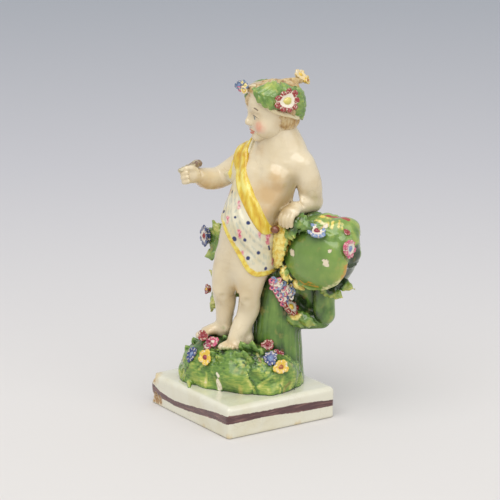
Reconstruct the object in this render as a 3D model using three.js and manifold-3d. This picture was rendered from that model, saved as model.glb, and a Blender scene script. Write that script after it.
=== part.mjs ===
// A glazed pearlware figure: a child with a flower wreath stands on a grassy mound and leans its left arm
// on a horn of plenty that a tree stump carries. Mound, stump, horn, child and plinth are fired as one body.
// Millimetres, +Z up. The origin is the middle of the plinth's underside, and the plinth's front faces -Y.

import * as THREE from "three";
import { mergeVertices } from "three/addons/utils/BufferGeometryUtils.js";
import Module from "manifold-3d";

const wasm = await Module();
wasm.setup();

// Driving dimensions
const PLINTH_WIDTH = 63;
const PLINTH_DEPTH = 55.6;
const PLINTH_HEIGHT = 14;
const PLINTH_CORNER = 1.7; // the radius of its upright corners
const PLINTH_EDGE = 2.3; // the radius of its rounded upper edge
const VENT_RADIUS = 2.5;
const VENT_DEPTH = 7;
const CHILD_TURN = THREE.MathUtils.degToRad(19); // the child faces a little towards its left
const HEAD_TURN = THREE.MathUtils.degToRad(-34); // and its head turns the other way
const HEAD_NOD = THREE.MathUtils.degToRad(1.5);
const CLOTH_THICKNESS = 1.2;
const SASH_THICKNESS = 1.8;
const HORN_RADIUS = 16.4;
const SOLE_LEFT = 31;
const SOLE_RIGHT = 32.4;
const WELD = 0.25; // edges shorter than this are closed up where solids are joined

const v = (x, y, z) => new THREE.Vector3(x, y, z);
const UP = v(0, 0, 1);
const BACK = v(0, 1, 0);
const LEFT = v(1, 0, 0);

// Closed solids from three.js geometry

// A geometry as a solid, with the vertices that its faces share merged.
function solid(geometry) {
  const bare = geometry.index ? geometry.toNonIndexed() : geometry.clone();
  bare.deleteAttribute("normal");
  bare.deleteAttribute("uv");
  const merged = mergeVertices(bare, 1e-4);
  return new wasm.Manifold(
    new wasm.Mesh({
      numProp: 3,
      vertProperties: merged.attributes.position.array,
      triVerts: new Uint32Array(merged.index.array),
      tolerance: WELD,
    }),
  );
}

const joined = (solids) => solids.reduce((sum, s) => sum.add(s));

// The skin over a stack of rings with equal counts of points, closed by one point at each end.
function skin(rings, first, last) {
  const sides = rings[0].length;
  const points = [first, ...rings.flat(), last];
  const faces = [];
  const at = (ring, side) => 1 + ring * sides + (side % sides);
  for (let side = 0; side < sides; side++) {
    faces.push(0, at(0, side + 1), at(0, side));
    for (let ring = 0; ring < rings.length - 1; ring++) {
      const [a, b] = [at(ring, side), at(ring, side + 1)];
      const [c, d] = [at(ring + 1, side), at(ring + 1, side + 1)];
      faces.push(a, b, d, a, d, c);
    }
    faces.push(points.length - 1, at(rings.length - 1, side), at(rings.length - 1, side + 1));
  }
  const geometry = new THREE.BufferGeometry().setFromPoints(points);
  geometry.setIndex(faces);
  return solid(geometry);
}

// A rounded limb through stations [centre, half width, half depth]. Its depth lies towards `deep`.
function limb(stations, { sides = 12, steps = 8, deep = BACK, blunt = 0.8 } = {}) {
  const path = new THREE.CatmullRomCurve3(stations.map(([centre]) => centre), false, "centripetal");
  const size = new THREE.CatmullRomCurve3(
    stations.map(([, wide, thick = wide]) => v(wide, thick, 0)),
    false,
    "centripetal",
  );
  const frames = [];
  for (let step = 0; step <= steps; step++) {
    const t = step / steps;
    const along = path.getTangent(t);
    const across = along.clone().cross(deep).normalize();
    const inward = across.clone().cross(along).normalize();
    frames.push({ centre: path.getPoint(t), along, across, inward, size: size.getPoint(t) });
  }
  const ring = ({ centre, along, across, inward, size: { x: wide, y: thick } }, shrink, push) =>
    Array.from({ length: sides }, (_, side) => {
      const angle = (2 * Math.PI * side) / sides;
      return centre
        .clone()
        .addScaledVector(along, push)
        .addScaledVector(across, -wide * shrink * Math.cos(angle))
        .addScaledVector(inward, thick * shrink * Math.sin(angle));
    });
  const reach = (frame) => Math.min(frame.size.x, frame.size.y) * blunt;
  const [head, tail] = [frames[0], frames[steps]];
  const slant = Math.PI / 4;
  const rings = frames.map((frame) => ring(frame, 1, 0));
  if (sides > 6) {
    // a thick limb gets one more ring at each end, so that its ends are round
    rings.unshift(ring(head, Math.cos(slant), -reach(head) * Math.sin(slant)));
    rings.push(ring(tail, Math.cos(slant), reach(tail) * Math.sin(slant)));
  }
  return skin(
    rings,
    head.centre.clone().addScaledVector(head.along, -reach(head)),
    tail.centre.clone().addScaledVector(tail.along, reach(tail)),
  );
}

function ball(centre, wide, deep = wide, high = wide, sides = 14) {
  const geometry = new THREE.SphereGeometry(1, sides, Math.round(sides * 0.65));
  geometry.rotateX(Math.PI / 2).scale(wide, deep, high);
  return solid(geometry.translate(centre.x, centre.y, centre.z));
}

// The turn that lays a thing modelled face up, towards +Z, on a surface that faces `normal`.
function facing(normal, spin = 0) {
  const turn = new THREE.Quaternion().setFromUnitVectors(UP, normal.clone().normalize());
  return turn.multiply(new THREE.Quaternion().setFromAxisAngle(UP, spin));
}

// A sprigged flower: a back, a petalled rim and a raised middle. Its back is sunk in what carries it.
function flower(centre, normal, radius, { petals = 5, thick = 2, spin = 0 } = {}) {
  const turn = facing(normal, spin);
  const profile = [[0.72, -0.9], [1, 0.3], [0.36, 0.45]]; // share of radius, height in thicknesses
  const rings = profile.map(([share, height]) =>
    Array.from({ length: petals * 2 }, (_, i) => {
      const notch = i % 2 === 0 ? 1 : 0.8;
      const reach = radius * share * (share > 0.6 ? notch : 1);
      const angle = (Math.PI * i) / petals;
      const point = v(reach * Math.cos(angle), reach * Math.sin(angle), height * thick);
      return point.applyQuaternion(turn).add(centre);
    }),
  );
  const along = (height) => v(0, 0, height * thick).applyQuaternion(turn).add(centre);
  return skin(rings, along(-1), along(0.95));
}

// A pointed leaf with a raised midrib, from its stem to its tip.
function leaf(stem, tip, normal, wide, { thick = 1.5, arch = 1.2 } = {}) {
  const along = tip.clone().sub(stem);
  const out = normal.clone().normalize();
  const across = along.clone().cross(out).normalize();
  const shares = [0.12, 0.38, 0.66, 0.88];
  const spread = [0.55, 1, 0.86, 0.42];
  const rings = shares.map((share, i) => {
    const middle = stem
      .clone()
      .addScaledVector(along, share)
      .addScaledVector(out, arch * 4 * share * (1 - share));
    const half = (wide / 2) * spread[i];
    const flesh = thick * (0.5 + 0.5 * spread[i]);
    return [
      middle.clone().addScaledVector(across, half),
      middle.clone().addScaledVector(out, -flesh * 0.9),
      middle.clone().addScaledVector(across, -half),
      middle.clone().addScaledVector(out, flesh * 0.6),
    ];
  });
  return skin(rings, stem, tip);
}

// Plinth: a pressed slab with rounded upper edges, a vent below and one broken corner

function slabRing(z, inset) {
  const [halfWidth, halfDepth] = [PLINTH_WIDTH / 2 - inset, PLINTH_DEPTH / 2 - inset];
  const corner = PLINTH_CORNER;
  const arcSteps = 3;
  const ring = [];
  for (const [quarter, sx, sy] of [[0, 1, 1], [1, -1, 1], [2, -1, -1], [3, 1, -1]]) {
    for (let step = 0; step <= arcSteps; step++) {
      const angle = (Math.PI / 2) * (quarter + step / arcSteps);
      ring.push(
        v(
          sx * (halfWidth - corner) + corner * Math.cos(angle),
          sy * (halfDepth - corner) + corner * Math.sin(angle),
          z,
        ),
      );
    }
  }
  return ring;
}

function plinth() {
  const edge = PLINTH_EDGE;
  const rings = [slabRing(0, 0.5), slabRing(0.7, 0)];
  for (const turn of [0, 45, 90]) {
    const angle = THREE.MathUtils.degToRad(turn);
    rings.push(slabRing(PLINTH_HEIGHT - edge * (1 - Math.sin(angle)), edge * (1 - Math.cos(angle))));
  }
  const slab = skin(rings, v(0, 0, 0), v(0, 0, PLINTH_HEIGHT));
  const vent = new THREE.CylinderGeometry(VENT_RADIUS, VENT_RADIUS, 2 * VENT_DEPTH, 10);
  vent.rotateX(Math.PI / 2).translate(PLINTH_WIDTH / 4, PLINTH_DEPTH / 5, 0);
  const brokenCorner = v(-PLINTH_WIDTH / 2, -PLINTH_DEPTH / 2, 0);
  const lowerChip = ball(brokenCorner.clone().add(v(3.4, -0.9, 2.9)), 6.4, 2.4, 2.7, 6);
  const upperChip = ball(brokenCorner.clone().add(v(-0.6, -0.8, 12.2)), 4.4, 3.4, 3.2, 6);
  return slab.subtract(solid(vent)).subtract(lowerChip).subtract(upperChip);
}

// Mound: a low grassy hill, highest under the feet, with ridged tufts round its skirt

const MOUND_PLAN = [
  // how far the skirt reaches from the middle, at equal angles round from the child's left
  27.4, 27, 26.2, 23, 20.5, 21, 24, 27, 28.5, 28.5, 26, 21.8, 20, 20, 22.6, 26.6,
];

function moundReach(angle) {
  const count = MOUND_PLAN.length;
  const place = ((angle / (2 * Math.PI)) * count + count) % count;
  const before = Math.floor(place) % count;
  const share = place - Math.floor(place);
  const ease = (1 - Math.cos(Math.PI * share)) / 2;
  return MOUND_PLAN[before] * (1 - ease) + MOUND_PLAN[(before + 1) % count] * ease;
}

function mound() {
  const sides = 20;
  const summit = v(-0.5, -2, 0);
  const foot = PLINTH_HEIGHT - 1;
  // rise of each ring above the foot, its share of the plan's reach, and how deep its tufts are
  const levels = [
    [0, 1, 0], [3, 1.02, 0.7], [7.5, 0.97, 1],
    [12, 0.86, 1.1], [16, 0.69, 0.9], [18, 0.45, 0.5],
  ];
  const rings = levels.map(([rise, share, tuft], level) =>
    Array.from({ length: sides }, (_, side) => {
      const angle = (2 * Math.PI * side) / sides;
      const ripple = tuft * Math.sin(9 * angle + 1.3 * level) * Math.cos(4 * angle - level);
      const reach = moundReach(angle) * share + ripple;
      const drift = share < 1 ? 1 - share : 0;
      return v(
        reach * Math.cos(angle) + summit.x * drift * 3,
        reach * Math.sin(angle) + summit.y * drift * 3,
        foot + rise + (level > 1 ? ripple * 0.4 : 0),
      );
    }),
  );
  const hill = skin(rings, v(0, 0, foot), v(summit.x, summit.y, SOLE_LEFT + 0.6));
  // swellings under the right foot, before the left foot and beside the stump
  const swellings = [
    ball(v(-11, -5.5, 26), 7.6, 8, 7.4, 7),
    ball(v(6, -14.4, 20.4), 8.4, 5.4, 5.2, 7),
    ball(v(19, -3, 22.4), 6.6, 5.4, 6.6, 7),
  ];
  return joined([hill, ...swellings]);
}

function tufts() {
  const stubs = [
    // stem, tip, thickness: modelled blades beside the feet
    [v(10, -8.4, 27), v(8.6, -11, 34.6), 1.9],
    [v(12.6, -7, 26), v(12.8, -9, 35.2), 2.1],
    [v(0.5, -3.4, 30), v(-1.2, -6, 37), 1.6],
    [v(-18, -6.4, 26), v(-20.2, -8, 31), 1.7],
  ];
  return joined(
    stubs.map(([stem, tip, thick]) => limb([[stem, thick], [tip, thick * 0.7]], { sides: 6, steps: 1 })),
  );
}

// Tree stump behind the child's left leg, with two boughs under the horn and two flat sprays of leaves
// that reach out behind the hips to the child's right

function stump() {
  const trunk = limb(
    [
      [v(12.8, 10.8, 15), 11.8],
      [v(11.8, 11, 24), 11.1],
      [v(10.6, 11.6, 37), 10.6],
      [v(10.9, 12, 50), 10.4],
      [v(11.8, 12.6, 69), 8.7],
    ],
    { sides: 11, steps: 4 },
  );
  const hornBough = limb([[v(14, 13, 46.6), 6.4], [v(23, 14.8, 44.6), 5.3], [v(30, 17.5, 44.2), 4.6]], {
    sides: 8,
    steps: 2,
    deep: UP,
  });
  const upperBough = limb([[v(17, 12.4, 64), 7], [v(23, 16, 57), 5.8], [v(26, 19.4, 50), 4.8]], {
    sides: 7,
    steps: 2,
  });
  const hipSpray = limb([[v(9, 12, 67), 6, 7], [v(-7, 8.4, 71), 3.4, 7.4], [v(-21, 6.2, 73), 2.2, 5.6]], {
    sides: 7,
    steps: 2,
    deep: UP,
  });
  const lowSpray = limb([[v(8, 12.5, 55), 4.4, 6], [v(-7, 8.4, 53), 2.8, 5], [v(-19.6, 6.6, 50), 1.8, 4]], {
    sides: 7,
    steps: 2,
    deep: UP,
  });
  return joined([trunk, hornBough, upperBough, hipSpray, lowSpray]);
}

// Horn of plenty: a mouth heaped with leaves, a body that bends down, and a tail that curls under it

const HORN_MOUTH = v(34, 4.6, 76.2);
const MOUTH_FACES = v(0.12, -1, 0.06).normalize();
const MOUTH_ACROSS = v(1, 0.12, 0).normalize();
const MOUTH_UP = MOUTH_ACROSS.clone().cross(MOUTH_FACES).negate();

// A point of the horn's mouth, from the angle in degrees up from the child's left, its share of the way
// out from the middle, and how far it stands out of the mouth.
function mouthPoint(degrees, share, out) {
  const angle = THREE.MathUtils.degToRad(degrees);
  return HORN_MOUTH.clone()
    .addScaledVector(MOUTH_ACROSS, Math.cos(angle) * share * HORN_RADIUS)
    .addScaledVector(MOUTH_UP, Math.sin(angle) * share * HORN_RADIUS)
    .addScaledVector(MOUTH_FACES, out);
}

function horn() {
  const body = limb(
    [
      [HORN_MOUTH.clone().add(v(0.4, 2.4, -0.6)), HORN_RADIUS - 1.4],
      [HORN_MOUTH.clone().add(v(0.4, 6, 0)), HORN_RADIUS - 1.8],
      [HORN_MOUTH.clone().add(v(0.2, 11.4, 0)), HORN_RADIUS - 3.2],
      [HORN_MOUTH.clone().add(v(-0.8, 15.6, -6.4)), HORN_RADIUS - 5],
      [HORN_MOUTH.clone().add(v(-3.6, 14.4, -16)), 8],
      [HORN_MOUTH.clone().add(v(-5, 12, -24)), 6.2],
      [HORN_MOUTH.clone().add(v(-3.6, 11.6, -29.6)), 5.9],
    ],
    { sides: 12, steps: 7, deep: LEFT, blunt: 0.28 },
  );
  const heap = [
    ball(HORN_MOUTH.clone().add(v(0.8, 1.6, -3.4)), 16.2, 5.6, 13.4, 12),
    ball(HORN_MOUTH.clone().add(v(0.8, 4.4, 1.6)), 15.4, 6.5, 12.4, 10),
    ball(mouthPoint(22, 0.96, -5.4), 4.6, 5.6, 5.2, 7),
    ball(mouthPoint(-3, 0.94, -6.6), 4.6, 5.6, 4.8, 7),
  ];
  const collar = [
    // angles of the stem and the tip, width: leaves laid over the horn's sides, back to front
    [60, 46, 9.5],
    [36, 22, 9.5],
    [12, 2, 8.5],
    [86, 76, 8.5],
  ].map(([start, end, wide]) => {
    const share = start > 50 ? 0.82 : 0.9;
    const normal = mouthPoint((start + end) / 2, 1, 0).sub(HORN_MOUTH);
    const tip = mouthPoint(end, share + 0.14, -2.6);
    return leaf(mouthPoint(start, share, -13), tip, normal, wide, { thick: 1.8 });
  });
  return joined([body, ...heap, ...collar]);
}

// Child: trunk, head, arms and legs, each a limb through its joints

const HIP = { left: v(7.4, -1.2, 69), right: v(-4.6, -1.2, 68) };
const SHOULDER = { left: v(25.6, 9.2, 112), right: v(-0.8, 6, 111.8) };
const NECK = v(13.2, 7.2, 118);
const HEAD = v(12.4, 5.8, 134.2);
const TORSO = [
  [v(1.4, -0.6, 62), 7, 7],
  [v(1.8, -0.4, 68), 12.4, 9.6],
  [v(2.6, 0, 76), 13, 10.4],
  [v(4.8, 0.6, 85), 13, 10.8],
  [v(7.4, 2.6, 94), 13.2, 10.6],
  [v(10, 4.8, 103), 13.8, 10],
  [v(12, 6.4, 110.5), 14.4, 9],
  [v(12.7, 7.1, 116), 13, 7.8],
  [v(13.2, 7.2, 120), 10, 7.6],
];

function torso(swell = 0, steps = 7) {
  return limb(
    TORSO.map(([centre, wide, thick]) => [centre, wide + swell, thick + swell]),
    { sides: 12, steps, blunt: 0.4 },
  );
}

function leg(hip, knee, ankle, heel, toes, sole) {
  const calf = knee.clone().lerp(ankle, 0.42).add(v(0, 1, 0));
  const thigh = hip.clone().lerp(knee, 0.45).add(v(0, -0.9, 0));
  const shank = limb(
    [[hip, 7.6], [thigh, 6.6], [knee, 5.2], [calf, 5], [ankle, 3.8], [ankle.clone().setZ(sole + 2.5), 3.9]],
    { sides: 8, steps: 6 },
  );
  const instep = heel.clone().lerp(toes, 0.5).setZ(sole + 2.9);
  const foot = limb(
    [
      [heel.clone().setZ(sole + 2.6), 3.3, 2.9],
      [instep, 3.6, 2.9],
      [toes.clone().setZ(sole + 1.9), 3.9, 1.9],
    ],
    { sides: 7, steps: 3, deep: UP },
  );
  return shank.add(foot);
}

// Four fingers side by side, from knuckles that lie along `row`, each bent once towards its tip.
function fingers(knuckles, row, bend, tip, thick) {
  return joined(
    [-1.5, -0.5, 0.5, 1.5].map((place) => {
      const root = knuckles.clone().addScaledVector(row, place * thick * 1.52);
      const shorten = 1 - 0.1 * Math.abs(place - 0.3);
      return limb(
        [
          [root, thick],
          [root.clone().addScaledVector(bend, shorten), thick],
          [root.clone().addScaledVector(tip, shorten), thick * 0.85],
        ],
        { sides: 5, steps: 2, deep: row },
      );
    }),
  );
}

function leftArm() {
  const elbow = v(26.2, 15.2, 94.8);
  const wrist = v(25.4, 4.6, 94);
  const arm = limb([[SHOULDER.left, 5.6], [v(27.4, 11.4, 104), 5.7], [elbow, 5]], { sides: 9, steps: 4 });
  const forearm = limb([[elbow, 4.8], [v(26, 10, 95), 4.7], [wrist, 3.4]], { sides: 9, steps: 3, deep: UP });
  const palm = limb([[wrist, 3.5, 2.8], [v(25.4, 0.8, 92.8), 4.9, 2.8]], { sides: 8, steps: 2, deep: UP });
  const hand = fingers(v(25.3, -0.6, 92.2), v(1, 0, 0.05), v(-0.3, -1.5, -2.4), v(-0.5, -1, -5.4), 1.35);
  const thumb = limb([[v(21.8, 2.8, 92.6), 1.6], [v(19.8, 0.8, 88.6), 1.3]], { sides: 6, steps: 1 });
  return joined([arm, forearm, palm, hand, thumb]);
}

function rightArm() {
  const arm = limb(
    [
      [SHOULDER.right, 5.8],
      [v(-7.4, 4.8, 107), 5.4],
      [v(-13.2, 1.8, 102.8), 4.9],
      [v(-15.2, -4, 102.9), 4.8],
      [v(-16, -9.8, 105.2), 3.8],
      [v(-16.6, -14.8, 106.4), 4],
    ],
    { sides: 9, steps: 7, deep: v(0.5, 0, 1) },
  );
  const hand = fingers(v(-16.8, -16.6, 105.6), v(0.2, 0, -0.98), v(-0.6, -2.4, 0), v(1.8, -2, 0.8), 1.35);
  const thumb = limb([[v(-14.8, -12.6, 108.4), 1.6], [v(-15.4, -16.8, 110), 1.3]], { sides: 6, steps: 1 });
  // what is left of the sprig that the hand held out: a broken stub of stem and leaf
  const stub = leaf(v(-17.8, -19.8, 108.8), v(-14.8, -9.4, 111), v(0.2, -0.3, 1), 5, { thick: 2.4 });
  return joined([arm, hand, thumb, stub]);
}

// A point of the head, from its own directions: towards the child's left, the face and the crown.
function headPoint(left, face, crown) {
  const turn = new THREE.Quaternion()
    .setFromAxisAngle(UP, HEAD_TURN)
    .multiply(new THREE.Quaternion().setFromAxisAngle(LEFT, HEAD_NOD));
  return v(left, -face, crown).applyQuaternion(turn).add(HEAD);
}

// The head as level sections: height, half width, how far the face and the back of the head stand out
const HEAD_SECTIONS = [
  [-11.4, 4.6, 8.8, 3], [-8, 8, 10.6, 8], [-3.6, 10, 11, 11.4], [2, 10.9, 11.1, 12.4],
  [6.4, 10.4, 10.5, 11.9], [10.6, 7.8, 8.8, 10], [12.8, 4.8, 5.8, 7],
];

function head() {
  const neck = limb(
    [[NECK, 9.4, 8], [NECK.clone().add(v(0, 0.2, 4.5)), 7.6], [NECK.clone().add(v(-0.2, 0.2, 10)), 7.8]],
    { sides: 10, steps: 2 },
  );
  // from the nape down to the left shoulder, which leans on the horn and so is drawn up
  const slope = limb([[v(15.4, 10, 124.6), 5.6], [v(18, 10.6, 119.5), 6.2], [v(21.2, 10.4, 114), 6.2]], {
    sides: 8,
    steps: 2,
  });
  const sides = 12;
  const rings = HEAD_SECTIONS.map(([height, wide, face, back]) =>
    Array.from({ length: sides }, (_, side) => {
      const angle = (2 * Math.PI * side) / sides;
      const forward = -Math.sin(angle);
      return headPoint(wide * Math.cos(angle), forward * (forward > 0 ? face : back), height);
    }),
  );
  const skull = skin(rings, headPoint(0, 5, -12.6), headPoint(0, -0.4, 13.8));
  const bridge = headPoint(0, 10, 1.4);
  const nose = limb([[bridge, 0.9], [headPoint(0, 11.8, -2.2), 1.6, 1.4]], { sides: 6, steps: 1 });
  const brow = [headPoint(0.8, 9.4, 8.4), headPoint(-0.8, 10.8, 6.4), headPoint(-0.6, 11, 3.8)];
  const curl = limb(brow.map((point, i) => [point, [1.1, 1.1, 0.7][i]]), { sides: 4, steps: 2 });
  return joined([neck, slope, skull, nose, curl]);
}

// Wreath: broad leaves laid round the brow, a large flower over the left ear, and smaller flowers over
// the brow, on a twig behind the crown, over the right ear and behind

function wreath() {
  // a point round the head: angle from the brow round by the child's left, reach, height
  const round = (turn, reach, crown) => {
    const angle = THREE.MathUtils.degToRad(turn);
    return headPoint(reach * Math.sin(angle), reach * Math.cos(angle), crown);
  };
  const out = (turn, rise = 0) => round(turn, 1, rise).sub(HEAD);
  const leaves = [
    // angle, reach and height of the stem, then of the tip, width
    [92, 10.4, 6, 18, 9.6, 10.6, 10],
    [-18, 9.6, 10.2, -84, 10.4, 5.4, 9.6],
    [-98, 10.6, 6, -146, 11, 3, 9],
    [-178, 12, 5, -134, 11.4, 6.4, 9],
    [131, 12.8, 10.6, 149, 13.4, -3.2, 8.4],
    [196, 12.4, 6, 166, 12.2, -1.2, 7.5],
  ].map(([from, near, low, to, far, high, wide]) =>
    leaf(round(from, near, low), round(to, far, high), out((from + to) / 2), wide, {
      thick: 2.2,
      arch: Math.abs(from - to) > 50 ? 2.9 : 1.3,
    }),
  );
  const crown = headPoint(-1.1, -14.4, 12.8);
  const twig = [headPoint(0.6, -5.6, 11.8), headPoint(0.2, -10, 12.2), headPoint(-0.8, -13.2, 12)];
  return joined([
    ...leaves,
    ball(round(141, 9.4, 3.6), 4.4, 4.4, 6.4, 8),
    flower(round(101, 12.6, 6.8), out(97, 0.1), 5.3, { petals: 7, thick: 2.2 }),
    flower(round(-8, 12.9, 10.6), out(-8, 0.4), 3.4, { thick: 3, spin: 0.3 }),
    flower(crown, headPoint(0.67, -0.4, 0.5).sub(HEAD), 3.1, { thick: 2 }),
    limb(twig.map((point, i) => [point, [2, 1.7, 1.4][i]]), { sides: 6, steps: 2 }),
    flower(round(-92, 12.4, 6), out(-92, 0.1), 4.6, { thick: 2 }),
    flower(round(208, 13, 5), out(208), 4, { thick: 2 }),
  ]);
}

// Cloth: the torso's own form, a little larger, kept only inside the cut of the cloth seen from the front

function cloth() {
  const sideways = (points) => {
    const outline = new THREE.Shape(points.map(([x, z]) => new THREE.Vector2(x, z)));
    const depth = 60;
    const prism = new THREE.ExtrudeGeometry(outline, { depth, bevelEnabled: false });
    return solid(prism.rotateX(Math.PI / 2).translate(0, depth / 2, 0));
  };
  const body = joined([
    torso(CLOTH_THICKNESS),
    limb([[HIP.left, 8.8], [HIP.left.clone().add(v(-0.6, -1, -7)), 7.6]], { sides: 10, steps: 1 }),
    ball(SHOULDER.right, 6.8, 6.8, 6.6, 10),
  ]);
  const cut = sideways([
    [4.4, 123], [4.2, 113], [9.4, 101.8], [14.2, 93.9], [17.2, 84.8], [19.5, 80],
    [24, 74], [24, 63], [14, 63.8], [9.2, 67], [3.4, 77], [0, 82],
    [-4, 85.5], [-16, 92], [-16, 104], [-6.5, 107], [-5, 113], [-3, 123],
  ]);
  const band = sideways([
    [3.8, 125], [3, 119.6], [4.4, 114], [7, 107.2], [11, 100.6], [14.5, 95.3], [18, 83.4], [15.8, 83.2],
    [12, 89], [7.4, 95.4], [2.2, 101.4], [-1.6, 106.4], [-4.2, 112.5], [-4.4, 125],
  ]);
  return joined([body.intersect(cut), torso(SASH_THICKNESS).intersect(band)]);
}

// Leaves and flowers pressed on to the stump, the horn and the mound

function foliage() {
  const front = v(0, -1, 0.15);
  const leaves = [
    // stem, tip, the side that it shows, width
    [v(-13, 8.4, 70), v(-21.5, 5.2, 80.5), front, 8],
    [v(-14, 8, 69), v(-24, 5.2, 65), v(-0.4, -1, 0), 7],
    [v(-16, 7.2, 53), v(-21.4, 6.2, 40.5), front, 6],
    [v(-13, 7.6, 54), v(-22, 6, 58.4), front, 6],
    [v(30, 15.5, 63), v(47.5, 16.6, 59.4), v(0.3, -1, 0.5), 7.5],
    [v(20, 9, 46.6), v(31, 13.4, 41.6), v(0.4, -1, -0.2), 6.5],
    [v(18, 8, 46.4), v(25, 11, 40.4), v(0.3, -1, -0.2), 6],
    [v(20.6, 2.4, 87), v(17.8, 0.4, 77), v(-0.2, -1, 0.1), 7],
    [v(20, 5, 88), v(27.5, 0, 81.5), v(0, -1, 0.3), 8],
    [v(6, 18.8, 56), v(-1, 18.6, 69), v(-0.2, 1, 0.2), 9],
  ];
  const flowers = [
    // centre, the side that it shows, radius, petals
    [v(-23.4, 4.8, 74.6), v(-0.35, -0.9, 0), 5.2, 7],
    [v(-21.6, 5.4, 52.4), v(-0.4, -0.9, 0.1), 2.7, 5],
    [v(37.6, 1.8, 86.6), v(0.1, -0.8, 0.7), 4.2, 6],
    [v(51, 7.4, 80.2), v(0.9, -0.6, 0.1), 4.2, 6],
    [v(13.4, 1.8, 59.6), v(0.2, -1, 0.1), 2.6, 5],
    [v(16.6, 3, 57), v(0.5, -1, 0.1), 3.4, 5],
    [v(19.4, 5, 54.6), v(0.7, -0.9, 0.1), 3.2, 5],
    [v(22.2, 7.4, 48.2), v(1, -0.5, 0.1), 4.3, 6],
    [v(-16.6, -8.4, 32.2), v(-0.3, -0.8, 0.8), 2.7, 5],
    [v(-8.4, -12, 31.4), v(0, -0.8, 0.9), 3, 5],
    [v(-15.2, -16.8, 26.6), v(-0.4, -0.9, 0.6), 3.4, 6],
    [v(-7, -17.8, 26.6), v(0, -1, 0.5), 3.6, 5],
    [v(14.6, 0, 31.8), v(0.3, -0.9, 0.4), 2.7, 5],
    [v(19.8, 1.6, 28.4), v(0.7, -0.7, 0.4), 2.6, 5],
    [v(20.6, -5.8, 28.6), v(0.4, -0.6, 0.8), 3.4, 5],
    [v(25.8, -4.4, 24.2), v(0.9, -0.4, 0.4), 3.2, 5],
    [v(4, 19.6, 62), v(-0.2, 1, 0.2), 4.2, 5],
  ];
  return joined([
    ball(v(19.8, -2.4, 85), 2.2, 2.2, 2, 6), // the knot where the sash ends at the hip
    ...leaves.map(([stem, tip, normal, wide]) => leaf(stem, tip, normal, wide)),
    ...flowers.map(([centre, normal, radius, petals]) => flower(centre, normal, radius, { petals })),
  ]);
}

// Assembly: everything above the plinth is modelled in the child's own directions and turned with it

// The outer skin alone: a pocket left shut inside where pieces meet is clay like the rest.
function withoutPockets(body) {
  const shells = body.decompose();
  return shells.reduce((largest, shell) => (shell.volume() > largest.volume() ? shell : largest));
}

function figure() {
  const limbs = [
    leg(HIP.left, v(6.2, -3, 54), v(4, -2.6, 40), v(4.4, -1.2, 0), v(2.2, -13.2, 0), SOLE_LEFT),
    leg(HIP.right, v(-7, -3.4, 54), v(-7.6, -2.4, 42), v(-7.6, -0.8, 0), v(-13.4, -11.6, 0), SOLE_RIGHT),
    leftArm(),
    rightArm(),
  ];
  const child = joined([torso(), head(), wreath(), cloth(), ...limbs]);
  const setting = joined([mound(), tufts(), stump(), horn(), foliage()]);
  const turned = child.add(setting).rotate([0, 0, THREE.MathUtils.radToDeg(CHILD_TURN)]);
  return plinth().add(turned);
}

function asGeometry(body) {
  const { numProp, numVert, vertProperties, triVerts } = body.getMesh();
  const points = new Float32Array(numVert * 3);
  for (let i = 0; i < numVert; i++) {
    points.set(vertProperties.subarray(i * numProp, i * numProp + 3), i * 3);
  }
  const geometry = new THREE.BufferGeometry();
  geometry.setAttribute("position", new THREE.BufferAttribute(points, 3));
  geometry.setIndex(new THREE.BufferAttribute(new Uint32Array(triVerts), 1));
  geometry.computeVertexNormals();
  return geometry;
}

const pearlware = new THREE.MeshStandardMaterial({ color: 0xe9dfc4, roughness: 0.22, metalness: 0 });
const body = new THREE.Mesh(asGeometry(withoutPockets(figure())), pearlware);
body.name = "pearlware_figure";

const group = new THREE.Group();
group.add(body);

export default group;
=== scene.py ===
import math

import bpy
import numpy as np
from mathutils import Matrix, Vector


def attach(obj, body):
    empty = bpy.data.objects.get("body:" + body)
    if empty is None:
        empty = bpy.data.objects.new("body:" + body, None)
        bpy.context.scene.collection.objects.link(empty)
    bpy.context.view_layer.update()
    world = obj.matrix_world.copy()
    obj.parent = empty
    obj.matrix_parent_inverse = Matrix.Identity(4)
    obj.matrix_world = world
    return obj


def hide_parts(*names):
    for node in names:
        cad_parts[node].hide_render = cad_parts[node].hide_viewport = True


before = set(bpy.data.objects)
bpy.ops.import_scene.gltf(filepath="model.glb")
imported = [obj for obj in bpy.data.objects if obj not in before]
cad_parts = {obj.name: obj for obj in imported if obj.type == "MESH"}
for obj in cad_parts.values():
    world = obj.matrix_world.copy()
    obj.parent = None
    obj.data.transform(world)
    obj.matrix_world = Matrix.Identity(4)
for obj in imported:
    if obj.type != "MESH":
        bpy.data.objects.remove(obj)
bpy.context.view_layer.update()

# The plinth: a slab of white earthenware pressed in a mould, dipped in a clear glaze that dries cream,
# with one purple-brown brush line round its sides. One corner has lost two chips, and a vent that let
# the steam out in the kiln is in its underside. Everything above is stuck on with slip before firing.

PLINTH_SIDES = (31.5, 27.8)  # half its width and half its depth, in millimetres like all that follows
PLINTH_HEIGHT = 14.0
PLINTH_CORNER = 1.7
PLINTH_EDGE = 2.3
VENT_X, VENT_Y = 15.5, 10.9
VENT_RADIUS, VENT_DEPTH = 2.5, 7.0
CHILD_TURN = math.radians(19)  # the child and its mound face a little towards the child's left


def smooth_line(rows, steps):
    """Rows of numbers with further rows between them, so that they follow a smooth line."""
    rows = np.array(rows, float)
    if len(rows) < 3:
        return rows
    ends = np.vstack([2 * rows[0] - rows[1], rows, 2 * rows[-1] - rows[-2]])
    drawn = []
    for before, here, there, after in zip(ends, ends[1:], ends[2:], ends[3:]):
        for t in np.arange(steps) / steps:
            bend = 2 * before - 5 * here + 4 * there - after
            turn = 3 * here - before - 3 * there + after
            drawn.append(0.5 * (2 * here + (there - before) * t + bend * t**2 + turn * t**3))
    return np.array(drawn + [rows[-1]])


def unit(line):
    line = np.array(line, float)
    return line / max(np.linalg.norm(line), 1e-9)


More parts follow.
